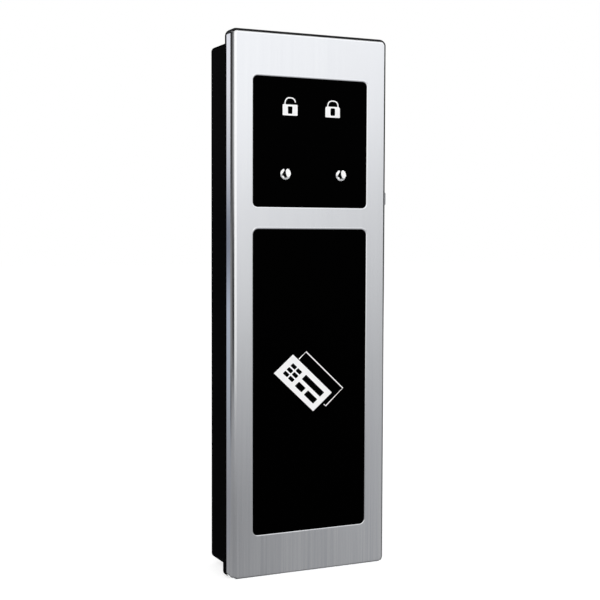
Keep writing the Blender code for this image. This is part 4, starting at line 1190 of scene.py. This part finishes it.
def sweep_shade(point):
    """Paler upwards and a little darker to the right, with a glint at the upper right."""
    grey = between(point.z, [(-0.095, 0.44), (-0.074, 0.495), (-0.032, 0.605), (0.010, 0.675),
                             (0.051, 0.735), (0.093, 0.86), (0.135, 0.95), (0.168, 0.975),
                             (0.24, 1.02), (0.35, 1.15)])
    turned = azimuth_of(point) - mirrored_azimuth
    share = between(point.z, [(-0.08, 0), (-0.03, 1), (0.093, 1), (0.168, 0.35)])
    glint = between(point.z, [(0.08, 0), (0.14, 0.14)]) * between(turned, [(8, 0), (13, 1)])
    return grey * (1 - turn_fall * min(turned, turn_most) * share) * (1 + glint)


def sweep_tint(point):
    return (0.975, 0.985, 1.01)


def side_shade(point):
    """Pale above and mid grey below, with a darker belt between."""
    return between(point.z, [(-0.095, 0.34), (-0.040, 0.42), (-0.020, 0.34), (-0.002, 0.22),
                             (0.034, 0.20), (0.052, 0.36), (0.064, 0.46), (0.098, 0.63), (0.141, 0.81),
                             (0.176, 0.87), (0.23, 0.91), (0.26, 0.03)])


def side_tint(point):
    """Bluer lower down, as the frame's side is in the photograph."""
    return between(point.z, [(-0.095, Vector((0.96, 1.08, 1.28))), (-0.020, Vector((1.02, 1.12, 1.35))),
                             (0.012, Vector((0.93, 1.03, 1.33))), (0.064, Vector((0.89, 0.95, 1.09))),
                             (0.115, Vector((0.94, 0.95, 1.02)))])


def upper_share(point):
    return between(point.z, [(0.02, 0), (0.06, 1)])


def left_shade(point):
    """Dark at the front in its lower part, and at the back in its upper part."""
    azimuth = azimuth_of(point)
    lower = between(azimuth, [(-118, 0.24), (-88, 0.22), (-66, 0.05), (-50, 0.0)])
    strength = between(point.z, [(0.065, 0.5), (0.09, 1.0), (0.12, 1.0), (0.166, 0.5)])
    upper = 0.025 + strength * between(azimuth, [(-85, 0.0), (-69, 0.17), (-48, 0.45)])
    return lower + (upper - lower) * upper_share(point)


def edge_light_shade(point):
    """Bright, but fading at its left end, and wholly dark there in its lower part."""
    azimuth = azimuth_of(point)
    lower = between(azimuth, [(-36, 0.0), (-27, 1.0)])
    upper = between(azimuth, [(-40, 0.6), (-25, 1.0)])
    fade = lower + (upper - lower) * upper_share(point)
    return fade * between(point.z, [(-0.095, 0.80), (0.0, 0.99), (0.15, 1.12)])


def right_shade(point):
    return between(point.z, [(-0.095, 0.28), (-0.03, 0.10), (0.03, 0.05), (0.1, 0.03)])


ground_steps = [0.0002, 0.0005, 0.0009, 0.002, 0.006, 0.015, 0.03, 0.05, 0.08, 0.12, 0.18, 0.25, 0.32,
                0.40, 0.49, 0.60]
ground_lift = 0.0001
outline_share = 0.04
ground_rows = []
for away in ground_steps:
    row = []
    for azimuth in range(-180, 181, 6):
        edge = round_lock(azimuth, 1.0, 0)
        start_x = min(max(edge[0] * outline_share, -half_width), half_width)
        start_y = min(max(edge[1] * outline_share, -half_depth), half_depth) - half_depth
        row.append((start_x + edge[0] * away, start_y + edge[1] * away, floor_level + ground_lift))
    ground_rows.append(row)
add_card("ground_card", ground_rows, ground_shade, ground_tint)
upright_card("sweep_card", (14, 45), sweep_shade, sweep_tint)
upright_card("side_card", (-205, -118), side_shade, side_tint)
upright_card("left_flag", (-118, -40), left_shade)
upright_card("edge_light", (-40, 14), edge_light_shade)
upright_card("right_flag", (45, 155), right_shade)
top_height = 0.7
top_shade = 0.02
top_rows = [[(x, y, top_height) for x in (-0.8, 2.6)] for y in (-0.45, 4.5)]
add_card("top_flag", top_rows, lambda point: top_shade)
